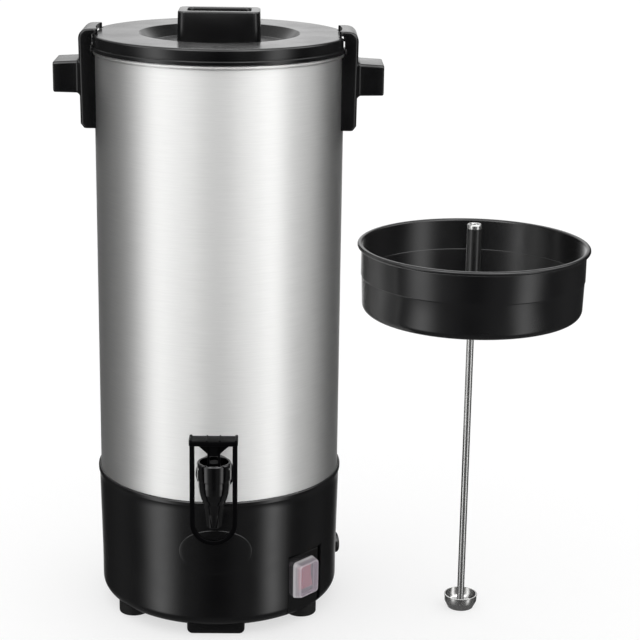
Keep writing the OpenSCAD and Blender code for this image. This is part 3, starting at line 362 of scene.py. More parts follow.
# Glossy polycarbonate for the rocker, red all through.
polycarbonate = moulded("polycarbonate_red", "#dc1428", 0.2, 1.5, 0.004, cloud=10, IOR=1.58)
# Steatite, a fired ceramic with a dry surface, carries the mains terminals.
steatite = moulded("steatite_ceramic", "#e7e0d1", 0.65, 0.5, 0.02, cloud=7, IOR=1.6)
print("plastics ready")

# %% [markdown]
# ## Clear silicone
# The switch hides under a splash-proof boot of clear silicone. It scatters light a little, so the
# red rocker shows through as pink. Its edges are painted pale and let less light pass: partly the
# milkier look of thicker silicone, partly a painted highlight along them. A Principled shader with
# most of its light transmitted, a rough surface and a faint lilac tint gives the rest.

# %% Clear silicone
# At an edge 30 % of the light passes; the moulded skin ripples every 9 mm or so.
EDGE_SHARE, RIPPLE = 0.3, 9


def frosted(name, colour, rough, share):
    """Milky rubber: `share` of the light passes, blurred by `rough`, and a slow ripple bends it.

    Pointiness finds the edges, where the tint turns pale and only EDGE_SHARE of the light passes; the pale
    tint is partly milkier silicone and partly a painted highlight.
    """
    made, tree, shader = shader_of(name, IOR=1.41)
    place = node(tree, "TexCoord").outputs["Object"]
    edge = node(tree, "NewGeometry").outputs["Pointiness"]
    at_edge = {"Value": edge, "From Min": 0.5, "From Max": 0.56}
    # The edges' pale tint is partly milkier silicone and partly a painted highlight along them.
    milky_and_lit_edge = node(tree, "MapRange", at_edge)
    tint = node(tree, "Mix", {0: milky_and_lit_edge.outputs["Result"], 6: linear(colour), 7: linear("#fbf8fb")},
                data_type="RGBA")
    clear = node(tree, "MapRange", {**at_edge, "To Min": share, "To Max": EDGE_SHARE})
    ripple, bump = toothed(tree, place, RIPPLE, 0.2, 0.02)
    shine = node(tree, "MapRange", {"Value": ripple, "From Min": 0.3, "From Max": 0.7,
                                    "To Min": rough - 0.03, "To Max": rough + 0.03})
    feed(tree, shader, Base_Color=tint.outputs[2], Transmission_Weight=clear.outputs["Result"],
         Roughness=shine.outputs["Result"], Normal=bump)
    return made


silicone_clear = frosted("silicone_clear", "#dccfdc", 0.1, 0.86)
print("clear silicone ready")

# %% [markdown]
# ## Metals
# The drum is stainless sheet brushed round its girth after rolling, so its grain runs level and
# light spreads upwards and downwards from it. The UV map follows the surface, so the grain is
# noise stretched along u. Plain metals get clouds of roughness and a fine tooth instead.

# %% Metals
def brushed(name, colour, rough, length, width, level):
    """Brushed sheet: streaks `length` x `width` mm along u, highlights stretched across the grain."""
    made, tree, shader = shader_of(name, Metallic=1.0, Anisotropic=level, Anisotropic_Rotation=0.25)
    place = node(tree, "UVMap", uv_map="surface").outputs["UV"]
    grain = node(tree, "Mapping", {"Vector": place, "Scale": (per_mm(length), per_mm(width), 1)})
    noise = node(tree, "TexNoise", {"Vector": grain.outputs["Vector"], "Scale": 1.0, "Detail": 4.0,
                                    "Roughness": 0.7})
    streak = noise.outputs["Fac"]
    shine = node(tree, "MapRange", {"Value": streak, "From Min": 0.25, "From Max": 0.75,
                                    "To Min": rough - 0.07, "To Max": rough + 0.07})
    ends = {6: shifted(colour, 0.88), 7: shifted(colour, 1.12)}
    tone = node(tree, "Mix", {0: streak, **ends}, data_type="RGBA")
    bump = node(tree, "Bump", {"Height": streak, "Strength": 0.25, "Distance": 0.02 * MM})
    run = node(tree, "Tangent", direction_type="UV_MAP", uv_map="surface")
    feed(tree, shader, Base_Color=tone.outputs[2], Roughness=shine.outputs["Result"],
         Normal=bump.outputs["Normal"], Tangent=run.outputs["Tangent"])
    return made


def plain_metal(name, colour, other, rough, grain, depth, cloud=14, **constants):
    """Unbrushed metal: two tones in clouds `cloud` mm wide, and a tooth of `grain` mm."""
    made, tree, shader = shader_of(name, Metallic=1.0, **constants)
    place = node(tree, "TexCoord").outputs["Object"]
    _, bump = toothed(tree, place, grain, 0.4, depth)
    wide, shine = cloudy(tree, place, cloud, 5.0, rough * 0.85, rough * 1.2)
    tone = node(tree, "Mix", {0: wide, 6: linear(colour), 7: linear(other)}, data_type="RGBA")
    feed(tree, shader, Base_Color=tone.outputs[2], Roughness=shine, Normal=bump)
    return made


# Real brush lines are 0.1 mm apart; 1.2 mm streaks with finer octaves show at this distance.
steel_brushed = brushed("stainless_brushed", "#dddddc", 0.56, 30, 1.2, 0.85)
# Pressed sheet keeps the faint clouds of the rolling mill.
steel_pressed = plain_metal("stainless_pressed", "#bdbdbb", "#cbcbc9", 0.3, 0.5, 0.004)
# Tube and cup are buffed bright.
steel_bright = plain_metal("stainless_buffed", "#c6c6c4", "#bababa", 0.25, 0.8, 0.0008, cloud=20)
# Screws, nuts and studs carry a blue-grey zinc coat.
steel_zinc = plain_metal("steel_zinc_plated", "#a6abb0", "#b9b7ad", 0.38, 0.4, 0.006, cloud=5)
# Heater tubes go straw brown and dull after their first hours.
heater_sheath = plain_metal("heater_sheath_annealed", "#5d574d", "#716450", 0.5, 0.3, 0.01, cloud=9)
# Cast aluminium keeps the sand of its mould.
aluminium_cast = plain_metal("aluminium_cast", "#989a9c", "#a7a8a8", 0.55, 0.5, 0.04)
# The thermal fuse's can is drawn from tinned brass.
brass_tinned = plain_metal("brass_tinned", "#b3ac98", "#c0b9a8", 0.35, 0.4, 0.006, cloud=6)
print("metals ready")

# %% [markdown]
# ## Coated and woven finishes
# The basket is steel with a baked non-stick coat: near black, satin, with a fine orange peel left
# by the spray. The leads inside the base wear a sleeve of woven glass, drawn as two sets of
# slanting threads that cross.

# %% Coated and woven finishes
# A sprayed peel is about 0.5 mm across; 1 mm shows. Tiny mica flakes lighten one point in many.
coating, tree, shader = shader_of("nonstick_coat_on_steel", IOR=1.5)
place = node(tree, "TexCoord").outputs["Object"]
_, peel = toothed(tree, place, 1.0, 0.5, 0.008)
_, satin = cloudy(tree, place, 40, 4.0, 0.2, 0.28)
flake = node(tree, "TexVoronoi", {"Vector": place, "Scale": per_mm(0.9)})
glint = node(tree, "MapRange", {"Value": flake.outputs["Distance"], "From Min": 0.0, "From Max": 0.14,
                                "To Min": 1.0, "To Max": 0.0})
coat_tone = node(tree, "Mix", {0: glint.outputs["Result"], 6: linear("#0c0c0d"), 7: linear("#1d1d1f")},
                 data_type="RGBA")
feed(tree, shader, Base_Color=coat_tone.outputs[2], Roughness=satin, Normal=peel)

# Sleeve threads are 0.3 mm wide; bands 0.9 mm wide, in two slanting directions, show the weave.
sleeving, tree, shader = shader_of("glass_sleeving_woven", IOR=1.52, Roughness=0.75, Sheen_Weight=0.2)
place = node(tree, "TexCoord").outputs["Object"]
threads = []
for slant in (0.7, -0.7):
    laid = node(tree, "Mapping", {"Vector": place, "Rotation": (slant, 0.3, slant)})
    wave = node(tree, "TexWave", {"Vector": laid.outputs["Vector"], "Scale": per_mm(3) / 2,
                                  "Distortion": 1.0})
    threads.append(wave.outputs["Fac"])
weave = node(tree, "Math", {0: threads[0], 1: threads[1]}, operation="MAXIMUM").outputs["Value"]
cloth = node(tree, "Mix", {0: weave, 6: linear("#8f8a7f"), 7: linear("#d6d0c4")}, data_type="RGBA")
lift = node(tree, "Bump", {"Height": weave, "Strength": 0.6, "Distance": 0.15 * MM})
feed(tree, shader, Base_Color=cloth.outputs[2], Normal=lift.outputs["Normal"])
print("coat and sleeving ready")

# %% [markdown]
# ## Solids that keep their shape
# Heaters, controls, screws, seals and other small parts already have the right shape, so they
# keep it and only take a finish. Every other node is replaced further on by a turned or moulded
# surface with the same axis and main sizes.

# %% Finishes for the kept solids
finishes = {
    steel_pressed: ["tank_floor", "handle_screws", "knob_screws"],
    aluminium_cast: ["heat_spreader"],
    heater_sheath: ["boil_heater", "warm_heater"],
    brass_tinned: ["thermal_fuse"],
    steatite: ["terminal_block", "thermostat"],
    sleeving: ["wiring"],
    steel_zinc: ["tie_studs", "tie_nuts", "foot_screws"],
    steel_bright: ["lever_pin", "tube_collar"],
    polypropylene: ["base_cover", "gland_nut", "tap_nut", "tap_guide", "switch_body"],
    polycarbonate: ["switch_rocker"],
    polypropylene_matt: ["tap_plunger"],
    silicone: ["handle_washers", "tap_gasket", "tap_inner_gasket", "tap_seal", "valve_washer"],
}
for finish, names in finishes.items():
    for name in names:
        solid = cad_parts[name]
        for spot in solid.material_slots:
            spot.material = finish
        if not solid.material_slots:
            solid.data.materials.append(finish)
print("kept nodes:", sum(map(len, finishes.values())))


def dress(made, finish, body, slot, *stands_for):
    """Gives a piece its finish, sets it riding on a body and hides the solids it stands for."""
    made.data.materials.append(finish)
    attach(made, body)
    if stands_for:
        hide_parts(*stands_for)
    return made

# %% [markdown]
# ## The drum
# A sheet is rolled, welded and curled outwards at the top into a bead that stiffens the rim. The
# wall and the bead are one profile turned about the urn's axis, so a lathe surface gives it in a
# single step, fine enough that the long reflections stay smooth.

# %% The drum
DRUM_R, DRUM_INNER, DRUM_LOW = 110.0, 109.2, 122.2
drum_profile = np.concatenate([
    [(DRUM_R, DRUM_LOW), (DRUM_R, 200), (DRUM_R, 300), (DRUM_R, 400), (DRUM_R, 512.0)],
    arc(DRUM_R, 513.8, 1.7, -84, 236, 20),
    [(DRUM_INNER, 512.2), (DRUM_INNER, DRUM_LOW)]])
drum = piece("steel_drum", turned(drum_profile, 256))
dress(drum, steel_brushed, "urn", "drum_steel", "urn_drum")

# %% [markdown]
# ## The base
# The base is one deep moulding: walls that lean out by one degree, a large round at the bottom
# and a bead at the top, where the drum stands in it. A flat recess with a groove round it frames
# the switch. It is still a turned profile, but its radius also depends on the azimuth: inside the
# recess the wall follows a plane, whose distance from the axis is 106 / cos(azimuth from the
# recess). Extra columns at the recess's edges keep them crisp.

# %% The base
WALL_R, LEAN, LEAN_FROM, LEAN_OVER, WALL = 109.8, 1.5, 45, 75, 2.5
SWITCH_AZIMUTH, RECESS_REACH, RECESS_HALF, RECESS_TOP = 48, 106.0, 22.0, 70.2
GROOVE_TOP, GROOVE_SIDE, GROOVE_DEEP, PANEL_ROUND = 4.0, 2.5, 1.8, 0.8
# Azimuths further off than this see nothing of the recess.
RECESS_TURN = math.radians(60)
# Rows and columns lie close together where the groove's lip turns over.
WALL_ROWS = (30, 40, 50, 60, 66, 66.2, 66.4, 66.6, 66.8, 67, 67.3, 69.7, 70.1, 70.3, 70.7, 85, 100, 112,
             120, 126.6)
LINES_ACROSS = np.array([19.3, 19.5, 19.7, 19.9, 20.1, 20.3, 21.4, 22, 22.12, 22.8, 23.9, 24.5, 24.6, 25.3])


def wall_r(z):
    """Radius of the base's wall: 109.8 up to a height of 45, leaning out to 111.3 at 120."""
    return WALL_R + LEAN * np.clip((np.asarray(z, float) - LEAN_FROM) / LEAN_OVER, 0, 1)


outer_rows = np.concatenate([
    arc(97.8, 21, 12, -90, 0, 14), [(wall_r(z), z) for z in WALL_ROWS],
    [(111.45, 126.95), (112.0, 127.1)],
    arc(111.9, 127.6, 0.5, -60, 0, 3), arc(110.8, 129.9, 1.6, 0, 90, 5), [(110.35, 131.2), (110.3, 130.6)]])
inner_rows = np.concatenate([
    [(110.3, 122.15), (103.8, 122.15), (103.8, 119.7), (107.3, 119.7), (107.3, 73), (107.3, 72.7),
     (107.3, 60)], arc(97.8, 21, 9.5, 0, -90, 8)])
base_profile = np.concatenate([outer_rows, inner_rows])
is_outer = (np.arange(len(base_profile)) < len(outer_rows))[:, None]


def recess(a, r, z):
    """Radius limited to reach / cos(off), for azimuths off the recess within its width, below its top.

    Near the recess's border the reach drops by deep (1 - sqrt(1 - into^2)), a groove with a round lip.
    """
    off = (a - math.radians(SWITCH_AZIMUTH) + math.pi) % (2 * math.pi) - math.pi
    wall = np.where(is_outer, 0, WALL)
    ahead_of = np.abs(off) < RECESS_TURN
    across = np.abs(RECESS_REACH * np.tan(np.where(ahead_of, off, 0)))
    inside = ahead_of & (across <= RECESS_HALF + wall + 0.01) & (z <= RECESS_TOP + wall)
    into = np.maximum(across - RECESS_HALF + GROOVE_SIDE, z - RECESS_TOP + GROOVE_TOP) / PANEL_ROUND
    drop = GROOVE_DEEP * (1 - np.sqrt(1 - np.clip(into, 0, 1) ** 2)) * is_outer
    plane = (RECESS_REACH - wall - drop) / np.cos(np.where(ahead_of, off, 0))
    return np.where(inside, np.minimum(r, plane), r), z


edges = np.degrees(np.arctan(np.concatenate([-LINES_ACROSS, LINES_ACROSS]) / RECESS_REACH)) + SWITCH_AZIMUTH
base_azimuths = np.unique(np.concatenate([np.arange(0, 360, 1.5), edges]))
base = piece("moulded_base", turned(base_profile, change=recess, azimuths=base_azimuths), sharp=30)
dress(base, polypropylene, "urn", "black_moulding", "base_shell")

# %% [markdown]
# ## The oval pad
# Under the tap the moulding carries a low oval pad, bent round the base, where a nameplate could
# go. It is left bare here. A polar grid suits an oval: one parameter runs from the centre to the
# rim, the other round it, and the height falls off near the rim as a quarter circle.

# %% The oval pad
PAD_W, PAD_H, PAD_Z, PAD_PROUD, PAD_RIM = 66, 43, 83.5, 0.8, 0.03


def oval_pad(rim_turn):
    """Points at (w/2 q cos t, h/2 q sin t) wrapped on the wall; q runs out to the rim and back inside.

    Over the rim, q falls short of 1 by rim (1 - sin k) and the height is proud cos k, for k in rim_turn.
    """
    rounding = 1 - PAD_RIM * (1 - np.sin(rim_turn))
    q = np.concatenate([np.linspace(0, 1 - PAD_RIM, 12), rounding, [1.0, 0.5, 0.0]])
    rise = np.concatenate([np.full(12, PAD_PROUD), PAD_PROUD * np.cos(rim_turn), [-1.0, -1.0, -1.0]])
    t = np.linspace(0, 2 * math.pi, 96, endpoint=False)[None, :]
    across, up = PAD_W / 2 * q[:, None] * np.cos(t), PAD_H / 2 * q[:, None] * np.sin(t)
    out = wall_r(PAD_Z + up) + rise[:, None]
    return np.stack([out * np.sin(across / DRUM_R), -out * np.cos(across / DRUM_R), PAD_Z + up], -1)


pad = piece("oval_pad", sheet_of(oval_pad(np.linspace(0, math.pi / 2, 6)), loop_rows=False))
dress(pad, polypropylene, "urn", "black_moulding")

# %% [markdown]
# ## Feet
# Four round rubber feet and one wide moulded foot keep the hot base off the table. The round ones
# are turned, with a rounded rim and a hollow for the screw. The wide one is a rounded outline
# carried from front to back, pulled in at both ends so that its edges are soft.

# %% Feet
FOOT_CIRCLE, FOOT_AZIMUTHS = 92, (57, -57, 123, -123)
foot_profile = rounded([(2.1, 4.5, 0.2), (5, 4.5, 0.3), (5, 0, 0.5), (14, 0, 1.6), (14, 14.2, 0.6),
                        (2.1, 14.2, 0.2)])
feet = piece("rubber_feet_round", *[
    turned(foot_profile, 64, centre=(FOOT_CIRCLE * math.sin(a), -FOOT_CIRCLE * math.cos(a), 0))
    for a in np.radians(FOOT_AZIMUTHS)])
dress(feet, rubber, "urn", "rubber_foot", "rubber_feet")

WIDE_FOOT_FRONT, WIDE_FOOT_BACK, WIDE_FOOT_HALF, WIDE_FOOT_TOP = -100.0, -76.0, 26, 15
sink = np.array([1.0, 0.55, 0.2, 0.0, 0.0, 0.0, 0.2, 0.55, 1.0])
along = np.concatenate([WIDE_FOOT_FRONT + np.array([0, 0.12, 0.45, 1.0, 8]),
                        WIDE_FOOT_BACK - np.array([1.0, 0.45, 0.12, 0])])
foot_rings = []
for inset, y in zip(sink, along):
    w, high = WIDE_FOOT_HALF - inset, WIDE_FOOT_TOP - inset
    flat = rounded([(w, inset, 5 - inset), (w, high, 0.4), (-w, high, 0.4), (-w, inset, 5 - inset)])
    foot_rings.append(np.column_stack([flat[:, 0], np.full(len(flat), y), flat[:, 1]]))
wide_foot = piece("wide_foot", lofted(np.array(foot_rings)))
dress(wide_foot, polypropylene, "urn", "black_moulding", "front_foot")

# %% [markdown]
# ## The cable gland
# Low on the right the mains cable enters through a round gland. The cable itself is off the urn,
# so only the gland shows. It is turned about an axis that lies flat and points out of the wall.

# %% The cable gland
GLAND_AZIMUTH, GLAND_Z = math.radians(104), 37
gland_axis = (math.sin(GLAND_AZIMUTH), -math.cos(GLAND_AZIMUTH), 0)
gland_profile = rounded([(3.6, 100.3, 0.2), (6.8, 100.3, 0.2), (6.8, 108.6, 0.1), (10, 108.6, 0.1),
                         (10, 115.8, 2.2), (6.2, 115.8, 0.4), (5.6, 114.6, 0.4), (3.6, 114.6, 0.4)])
gland = piece("gland_head", turned(gland_profile, 72, centre=(0, 0, GLAND_Z), axis=gland_axis))
dress(gland, polypropylene_gloss, "urn", "black_moulding", "cord_gland")

# %% [markdown]
# ## The switch boot
# The boot is a thin cap of clear silicone that tapers outwards. Its outside and inside are two
# stacks of rounded boxes joined at the open rim, so it has a real wall for the light to cross.

# %% The switch boot
SWITCH_Z, BOOT_W, BOOT_H, BOOT_REACH, BOOT_WALL = 43.7, 28, 35, 8.0, 1.2
DRAWN_IN = np.array([2.6, 4])
turn_in = math.radians(SWITCH_AZIMUTH)
switch_axes = np.array([(math.cos(turn_in), math.sin(turn_in), 0), (0, 0, 1),
                        (math.sin(turn_in), -math.cos(turn_in), 0)]).T
switch_origin = np.array([RECESS_REACH * math.sin(turn_in), -RECESS_REACH * math.cos(turn_in), SWITCH_Z])


def boot_rings(inset, top, edge):
    """Rounded boxes that shrink by drawn-in h / reach at height h, less inset all round.

    Over the top edge, for t up to a right angle, a ring climbs by edge sin t and shrinks by edge (1 - cos t).
    """
    t = np.linspace(0, math.pi / 2, 6)
    z = np.concatenate([[0.1, 0.1 + (top - edge) * 0.5], top - edge + edge * np.sin(t)])
    pull = np.concatenate([[0, 0], edge * (1 - np.cos(t))]) + inset
    rings = []
    for h, p in zip(z, pull):
        width, depth = (BOOT_W, BOOT_H) - DRAWN_IN * (h / BOOT_REACH) - 2 * p
        rings.append(at_height(rounded_box(width, depth, max(3.5 - p, 0.6)), h))
    return np.array(rings)


outside, inside = boot_rings(0, BOOT_REACH, 1.5), boot_rings(BOOT_WALL, BOOT_REACH - BOOT_WALL, 0.8)
boot = piece("clear_boot", moved(lofted(np.concatenate([inside[::-1], outside])), switch_origin, switch_axes))
dress(boot, silicone_clear, "urn", "clear_silicone", "switch_boot")

# %% [markdown]
# ## Handles
# Each handle is one thick moulding: a bracket screwed flat to the drum, a block grip, and a hook on
# top that keeps the lid down. The bracket is a stack of level outlines. Its inner side is an arc
# that fits the drum, the rolled rim, the lid's flange and the lid in turn, so one list of heights
# and radii carries all of the steps. The outline changes with the height, so it is a function.

# %% Handle brackets
BRACKET_LOW, BRACKET_HIGH, BRACKET_HALF, OUT_R = 447.3, 534.3, 25.0, 120.9
# The foot of the bracket is chamfered below CHAMFER_Z, and its crown rounds over above CROWN_Z.
CHAMFER_Z, CROWN_Z, CROWN_R, TOP_ROUND, LOW_ROUND = 451.3, 525.3, 9, 1.5, 0.7
BRACKET_LEAN, CHAMFER_SLOPE, CORNER, HOOK_TIP, PLAIN_TIP, MOST = 0.8, 0.75, 3.0, 4.0, 0.3, 0.45
FITS = [(511.1, 110.05), (514.8, 112.0), (519.9, 113.9), (530.1, 112.7), (534.3, 107.8)]


def round_loss(radius, past):
    """How far a quarter round of this radius has dropped, `past` its start: r - sqrt(r^2 - past^2)."""
    return radius - math.sqrt(max(radius ** 2 - max(0.0, past) ** 2, 0))


def bracket_outline(z, inner, hooked):
    """Level cut: an arc of radius inner on the drum's side, a flat outside with round corners.

    The outside leans out evenly with the height. Corners take at most a share of the wall's depth.
    """
    out = OUT_R + BRACKET_LEAN * (z - CHAMFER_Z) / (CROWN_Z - CHAMFER_Z)
    out -= max(0.0, CHAMFER_Z - z) * CHAMFER_SLOPE
    out -= round_loss(CROWN_R, z - CROWN_Z)
    half = BRACKET_HALF - round_loss(TOP_ROUND, z - BRACKET_HIGH + TOP_ROUND)
    half -= round_loss(LOW_ROUND, BRACKET_LOW + LOW_ROUND - z)
    corner = min(CORNER, MOST * (out - inner))
    tip = min(HOOK_TIP, MOST * (out - inner)) if hooked else PLAIN_TIP
    edge = math.sqrt(inner ** 2 - half ** 2)
    shape = rounded([(edge, -half, tip), (out, -half, corner), (out, half, corner), (edge, half, tip)])
    y = np.linspace(half - 1.5 * tip, -half + 1.5 * tip, 15)
    bent = np.stack([np.sqrt(inner ** 2 - y ** 2), y], 1)
    return at_height(np.concatenate([shape, bent]), z)


low_rows = [BRACKET_LOW, BRACKET_LOW + 0.25, BRACKET_LOW + LOW_ROUND, CHAMFER_Z]
crown_rows = CROWN_Z + CROWN_R * np.sin(np.radians(np.arange(0, 64, 9)))
top_rows = BRACKET_HIGH - TOP_ROUND + TOP_ROUND * np.sin(np.radians([0, 25, 50, 75]))
rings, start = [], BRACKET_LOW
for top_z, inner in FITS:
    hooked = top_z == BRACKET_HIGH
    steps = np.concatenate([low_rows if start == BRACKET_LOW else [start],
                            crown_rows[(start < crown_rows) & (crown_rows < top_z)],
                            top_rows if hooked else [], [top_z]])
    rings += [bracket_outline(z, inner, hooked) for z in steps]
    start = top_z
bracket = lofted(np.array(rings))
print("bracket:", len(rings), "level cuts")

# %% [markdown]
# ## Handle grips
# The grip is a plain block, part of the same moulding, and its root flares where it grows out of
# the bracket. A cube with bevelled edges could stand in for it, but a row of rounded boxes also
# gives the flare and the slight taper that lets it out of the mould. The left handle is the right
# one mirrored.

# %% Handle grips
GRIP_W, GRIP_H, GRIP_Z, GRIP_ROOT, GRIP_FACE, GRIP_ROUND = 44, 28.5, 492.05, 121.4, 143.0, 1.5
FLARE, FLARE_OVER, TAPER = 2.2, 3, 0.06


def grip_sheet():
    """Boxes carried outwards along x, d past the root: flare (1 - d / over)^2 wider, then tapering."""
    x = np.concatenate([[119.0], GRIP_ROOT + np.linspace(0, FLARE_OVER, 6), [130.0, 138.0],
                        GRIP_FACE + GRIP_ROUND * np.sin(np.radians([0, 25, 50, 72, 90]))])
    boxes = []
    for at in x:
        past_root = max(at - GRIP_ROOT, 0)
        grow = FLARE * max(0.0, 1 - past_root / FLARE_OVER) ** 2
        turn_over = round_loss(GRIP_ROUND, at - GRIP_FACE)
        slim = GRIP_H * TAPER * past_root / (GRIP_FACE + GRIP_ROUND - GRIP_ROOT)
        flat = rounded_box(GRIP_W + 2 * grow - 2 * turn_over, GRIP_H + 2 * grow - 2 * turn_over - slim,
                           2.5 + grow - turn_over * 0.5)
        boxes.append(np.column_stack([np.full(len(flat), at), flat[:, 0], flat[:, 1] + GRIP_Z - slim / 4]))
    return lofted(np.array(boxes))


grip = grip_sheet()
for sign, name in ((1, "right_handle"), (-1, "left_handle")):
    across = np.diag([sign, 1, 1])
    handle = piece("moulded_" + name, moved(bracket, turn=across), moved(grip, turn=across), sharp=32)
    dress(handle, polypropylene, "urn", "black_moulding", name)

# %% [markdown]
# ## The lid
# The lid is moulded with a dished middle, a broad flat shoulder, a stepped rim that sits on the
# drum's bead and a deep skirt inside. Two notches in the rim let it drop past the hooks before it
# is twisted. All of it is one turned profile. The notches and the steam vent come from the
# change function, with finer rows and columns where they need them.

# %% The lid
lid_corners = [(0, 517.8, 0), (63.5, 517.8, 0.5), (71.5, 527, 0.5), (102.6, 527, 0.2), (102.6, 503.8, 0.4),
               (104.8, 503.8, 0.4), (104.8, 527, 0.2), (109.6, 527, 0.2), (109.6, 515.8, 0.3),
               (113.2, 515.8, 0.6), (113.2, 519.2, 0.6), (111.4, 519.2, 0.1), (111.4, 520.2, 0.1),
               (112, 520.2, 0.2), (112, 529.4, 2.0), (71, 529.4, 1.0), (62, 520.2, 1.2), (0, 520.2, 0)]
lid_outline = rounded(lid_corners)
# The flat shoulder follows the outline's first 15 corners, each of them an arc of 6 points.
TO_SHOULDER, LID_TOP = 15 * 6, 529.4
shoulder = [(r, LID_TOP) for r in (109, 107.2, 107.0, 103, *np.arange(99, 91, -0.3), 86, 80, 75)]
lid_profile = np.concatenate([lid_outline[:TO_SHOULDER], shoulder, lid_outline[TO_SHOULDER:]])
NOTCH_R, NOTCH_TURN, NOTCH_FLOOR, RIM_LOW = 107.1, 14.45, 527, 515
VENT_AT, VENT_R, VENT_SUNK = 95, [1.65, 1.95, 3.0, 3.2], [2.2, 0.9, 0.12, 0]


def notches_and_vent(a, r, z):
    """Radius held to the notch's within its turn of either side; near the vent, z sinks by a cone."""
    off = np.abs(np.abs((a + math.pi) % (2 * math.pi) - math.pi) - math.pi / 2)
    cut = (off < math.radians(NOTCH_TURN)) & (r > NOTCH_R) & (z > RIM_LOW)
    r, z = np.where(cut, NOTCH_R, r), np.where(cut, np.maximum(z, NOTCH_FLOOR), z)
    away = np.hypot(r * np.sin(a), r * np.cos(a) - VENT_AT)
    return r, np.where(z > LID_TOP - 0.1, z - np.interp(away, VENT_R, VENT_SUNK), z)


lid_azimuths = np.unique(np.round(np.concatenate([
    np.arange(0, 360, 1.5), np.arange(-2.1, 2.2, 0.175) % 360,
    [c + s * (NOTCH_TURN + d) for c in (90, 270) for s in (-1, 1) for d in (-0.1, -0.05, 0.05, 0.15)]]), 4))
lid_sheet = turned(lid_profile, change=notches_and_vent, azimuths=lid_azimuths, closed=False)
lid = piece("moulded_lid", lid_sheet, sharp=32)
dress(lid, polypropylene, "lid", "black_moulding", "lid_shell")

# %% [markdown]
# ## Knob, liner and seal
# The knob is a bar with an open pocket for the fingertips, and its walls draw in upwards so that
# it leaves the mould. One stack of rounded boxes climbs its outside and goes down the pocket, each
# box shallower than it is wide by a fixed step. Under the lid lie a turned steel plate and a
# silicone ring.

# %% Knob, liner and seal
# Each row: the box's width, its corner radius and its height.
KNOB_ROWS = [(72.0, 6.5, 520.2), (73.0, 7.0, 520.7), (72.4, 7.0, 533.0), (71.5, 6.9, 548.3),
             (71.2, 6.7, 548.9), (70.4, 6.3, 549.4), (69.1, 5.7, 549.6)]
POCKET_ROWS = [(57.4, 5.6, 549.6), (56.2, 5.2, 549.4), (55.4, 5.0, 548.9), (55.1, 5.0, 548.2),
               (54.6, 4.8, 531.6), (54.2, 4.6, 530.9), (53.2, 4.1, 530.6)]
knob_rings = [at_height(rounded_box(width, width - step, corner), z)
              for step, rows in ((30, KNOB_ROWS), (28, POCKET_ROWS)) for width, corner, z in rows]
knob = piece("moulded_knob", lofted(np.array(knob_rings)), sharp=30)
dress(knob, polypropylene, "lid", "black_moulding", "lid_knob")

liner = piece("steel_liner", turned(rounded([(0, 516.9, 0), (102.3, 516.9, 0.3), (102.3, 517.7, 0.3),
                                             (0, 517.7, 0)]), 160, closed=False))
dress(liner, steel_pressed, "lid", "pressed_steel", "lid_liner")
seal = piece("lid_seal_ring", turned(rounded([(104.9, 505.8, 0.3), (106.2, 505.8, 0.6), (107.2, 508.3, 0.8),
                                              (106.2, 510.8, 0.6), (104.9, 510.8, 0.3)]), 160))
dress(seal, silicone, "seal_ring", "silicone", "lid_seal")

# %% [markdown]
# ## The tap
# The tap's cup, spout, barrel and flange come out of one mould. Two turned profiles give them: one
# about the upright axis of the spout, one about the level axis through the drum's wall.

# %% The tap
TAP = (0.0, -136.0, 160.5)
cup_profile = rounded([
    (4.5, -41.5, 0.3), (5.9, -41.5, 0.3), (6.4, -40.7, 0.3), (7.6, -28.7, 2), (9.4, -19.2, 0.5),
    (11.3, -14.8, 0.6), (12.9, -9.2, 2), (13.7, -3, 2), (13.8, 2.4, 0.2), (14.7, 3.1, 0.4), (14.8, 17.5, 0.4),
    (14.0, 18.5, 0.5), (12.4, 18.5, 0.5), (12.4, 6, 0.2), (10.5, 6, 0.2), (10.5, -4, 0.2), (7.4, -13, 0.3),
    (4.5, -17, 0.3)])
barrel_profile = rounded([(5, 10.6, 0.1), (9, 10.6, 0.1), (9, 19, 1.0), (17, 19, 1.2), (17, 23, 0.4),
                          (8.6, 23, 0.2), (8.6, 38, 0.6), (5, 38, 0.3)])
tap = piece("moulded_tap", turned(cup_profile, 96, centre=TAP),
            turned(barrel_profile, 96, centre=TAP, axis=(0, 1, 0)), sharp=30)
dress(tap, polypropylene_gloss, "urn", "black_moulding", "tap_body")

# %% [markdown]
# ## The valve spring
# A coil of stainless wire inside the cup presses the plunger onto its seat. Its top rests on the
# guide and its foot rises with the plunger, so it rides on neither alone: it stays with the urn.
# A real one is squashed towards its top as the valve opens; this one keeps its rest shape. A coil
# is a circle of wire carried round an axis while it climbs, and half a turn at each end lies flat,
# as on a real spring.

# %% The valve spring
WIRE_D, COILS, VALVE_LIFT, END_CLIMB = 0.9, 6, 1.95, 0.12
spring_low, spring_high = (np.array(tuple(corner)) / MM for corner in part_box("tap_spring"))


def coil(radius, low, high):
    """Rings ((R + w cos k) cos a, (R + w cos k) sin a, z + w sin k): a turns, z climbs from low to high.

    The half turns at the ends take part only in END_CLIMB of the climb, so they lie nearly flat.
    """
    t = np.linspace(0, 1, COILS * 24 + 1)[:, None]
    k = np.linspace(0, 2 * math.pi, 10, endpoint=False)[None, :]
    climb = np.clip((t - 0.5 / COILS) / (1 - 1 / COILS), 0, 1)
    z = low + WIRE_D / 2 + (high - low - WIRE_D) * (END_CLIMB * t + (1 - END_CLIMB) * climb)
    a, out = 2 * math.pi * COILS * t, radius - WIRE_D / 2 + WIRE_D / 2 * np.cos(k)
    return np.stack([out * np.cos(a), out * np.sin(a), z + WIRE_D / 2 * np.sin(k)], -1)


spring_rings = coil((spring_high[0] - spring_low[0]) / 2, spring_low[2], spring_high[2])
spring = piece("coil_spring", moved(lofted(spring_rings), (TAP[0], TAP[1], 0)))
dress(spring, steel_bright, "urn", "bright_steel", "tap_spring")
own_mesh(spring)

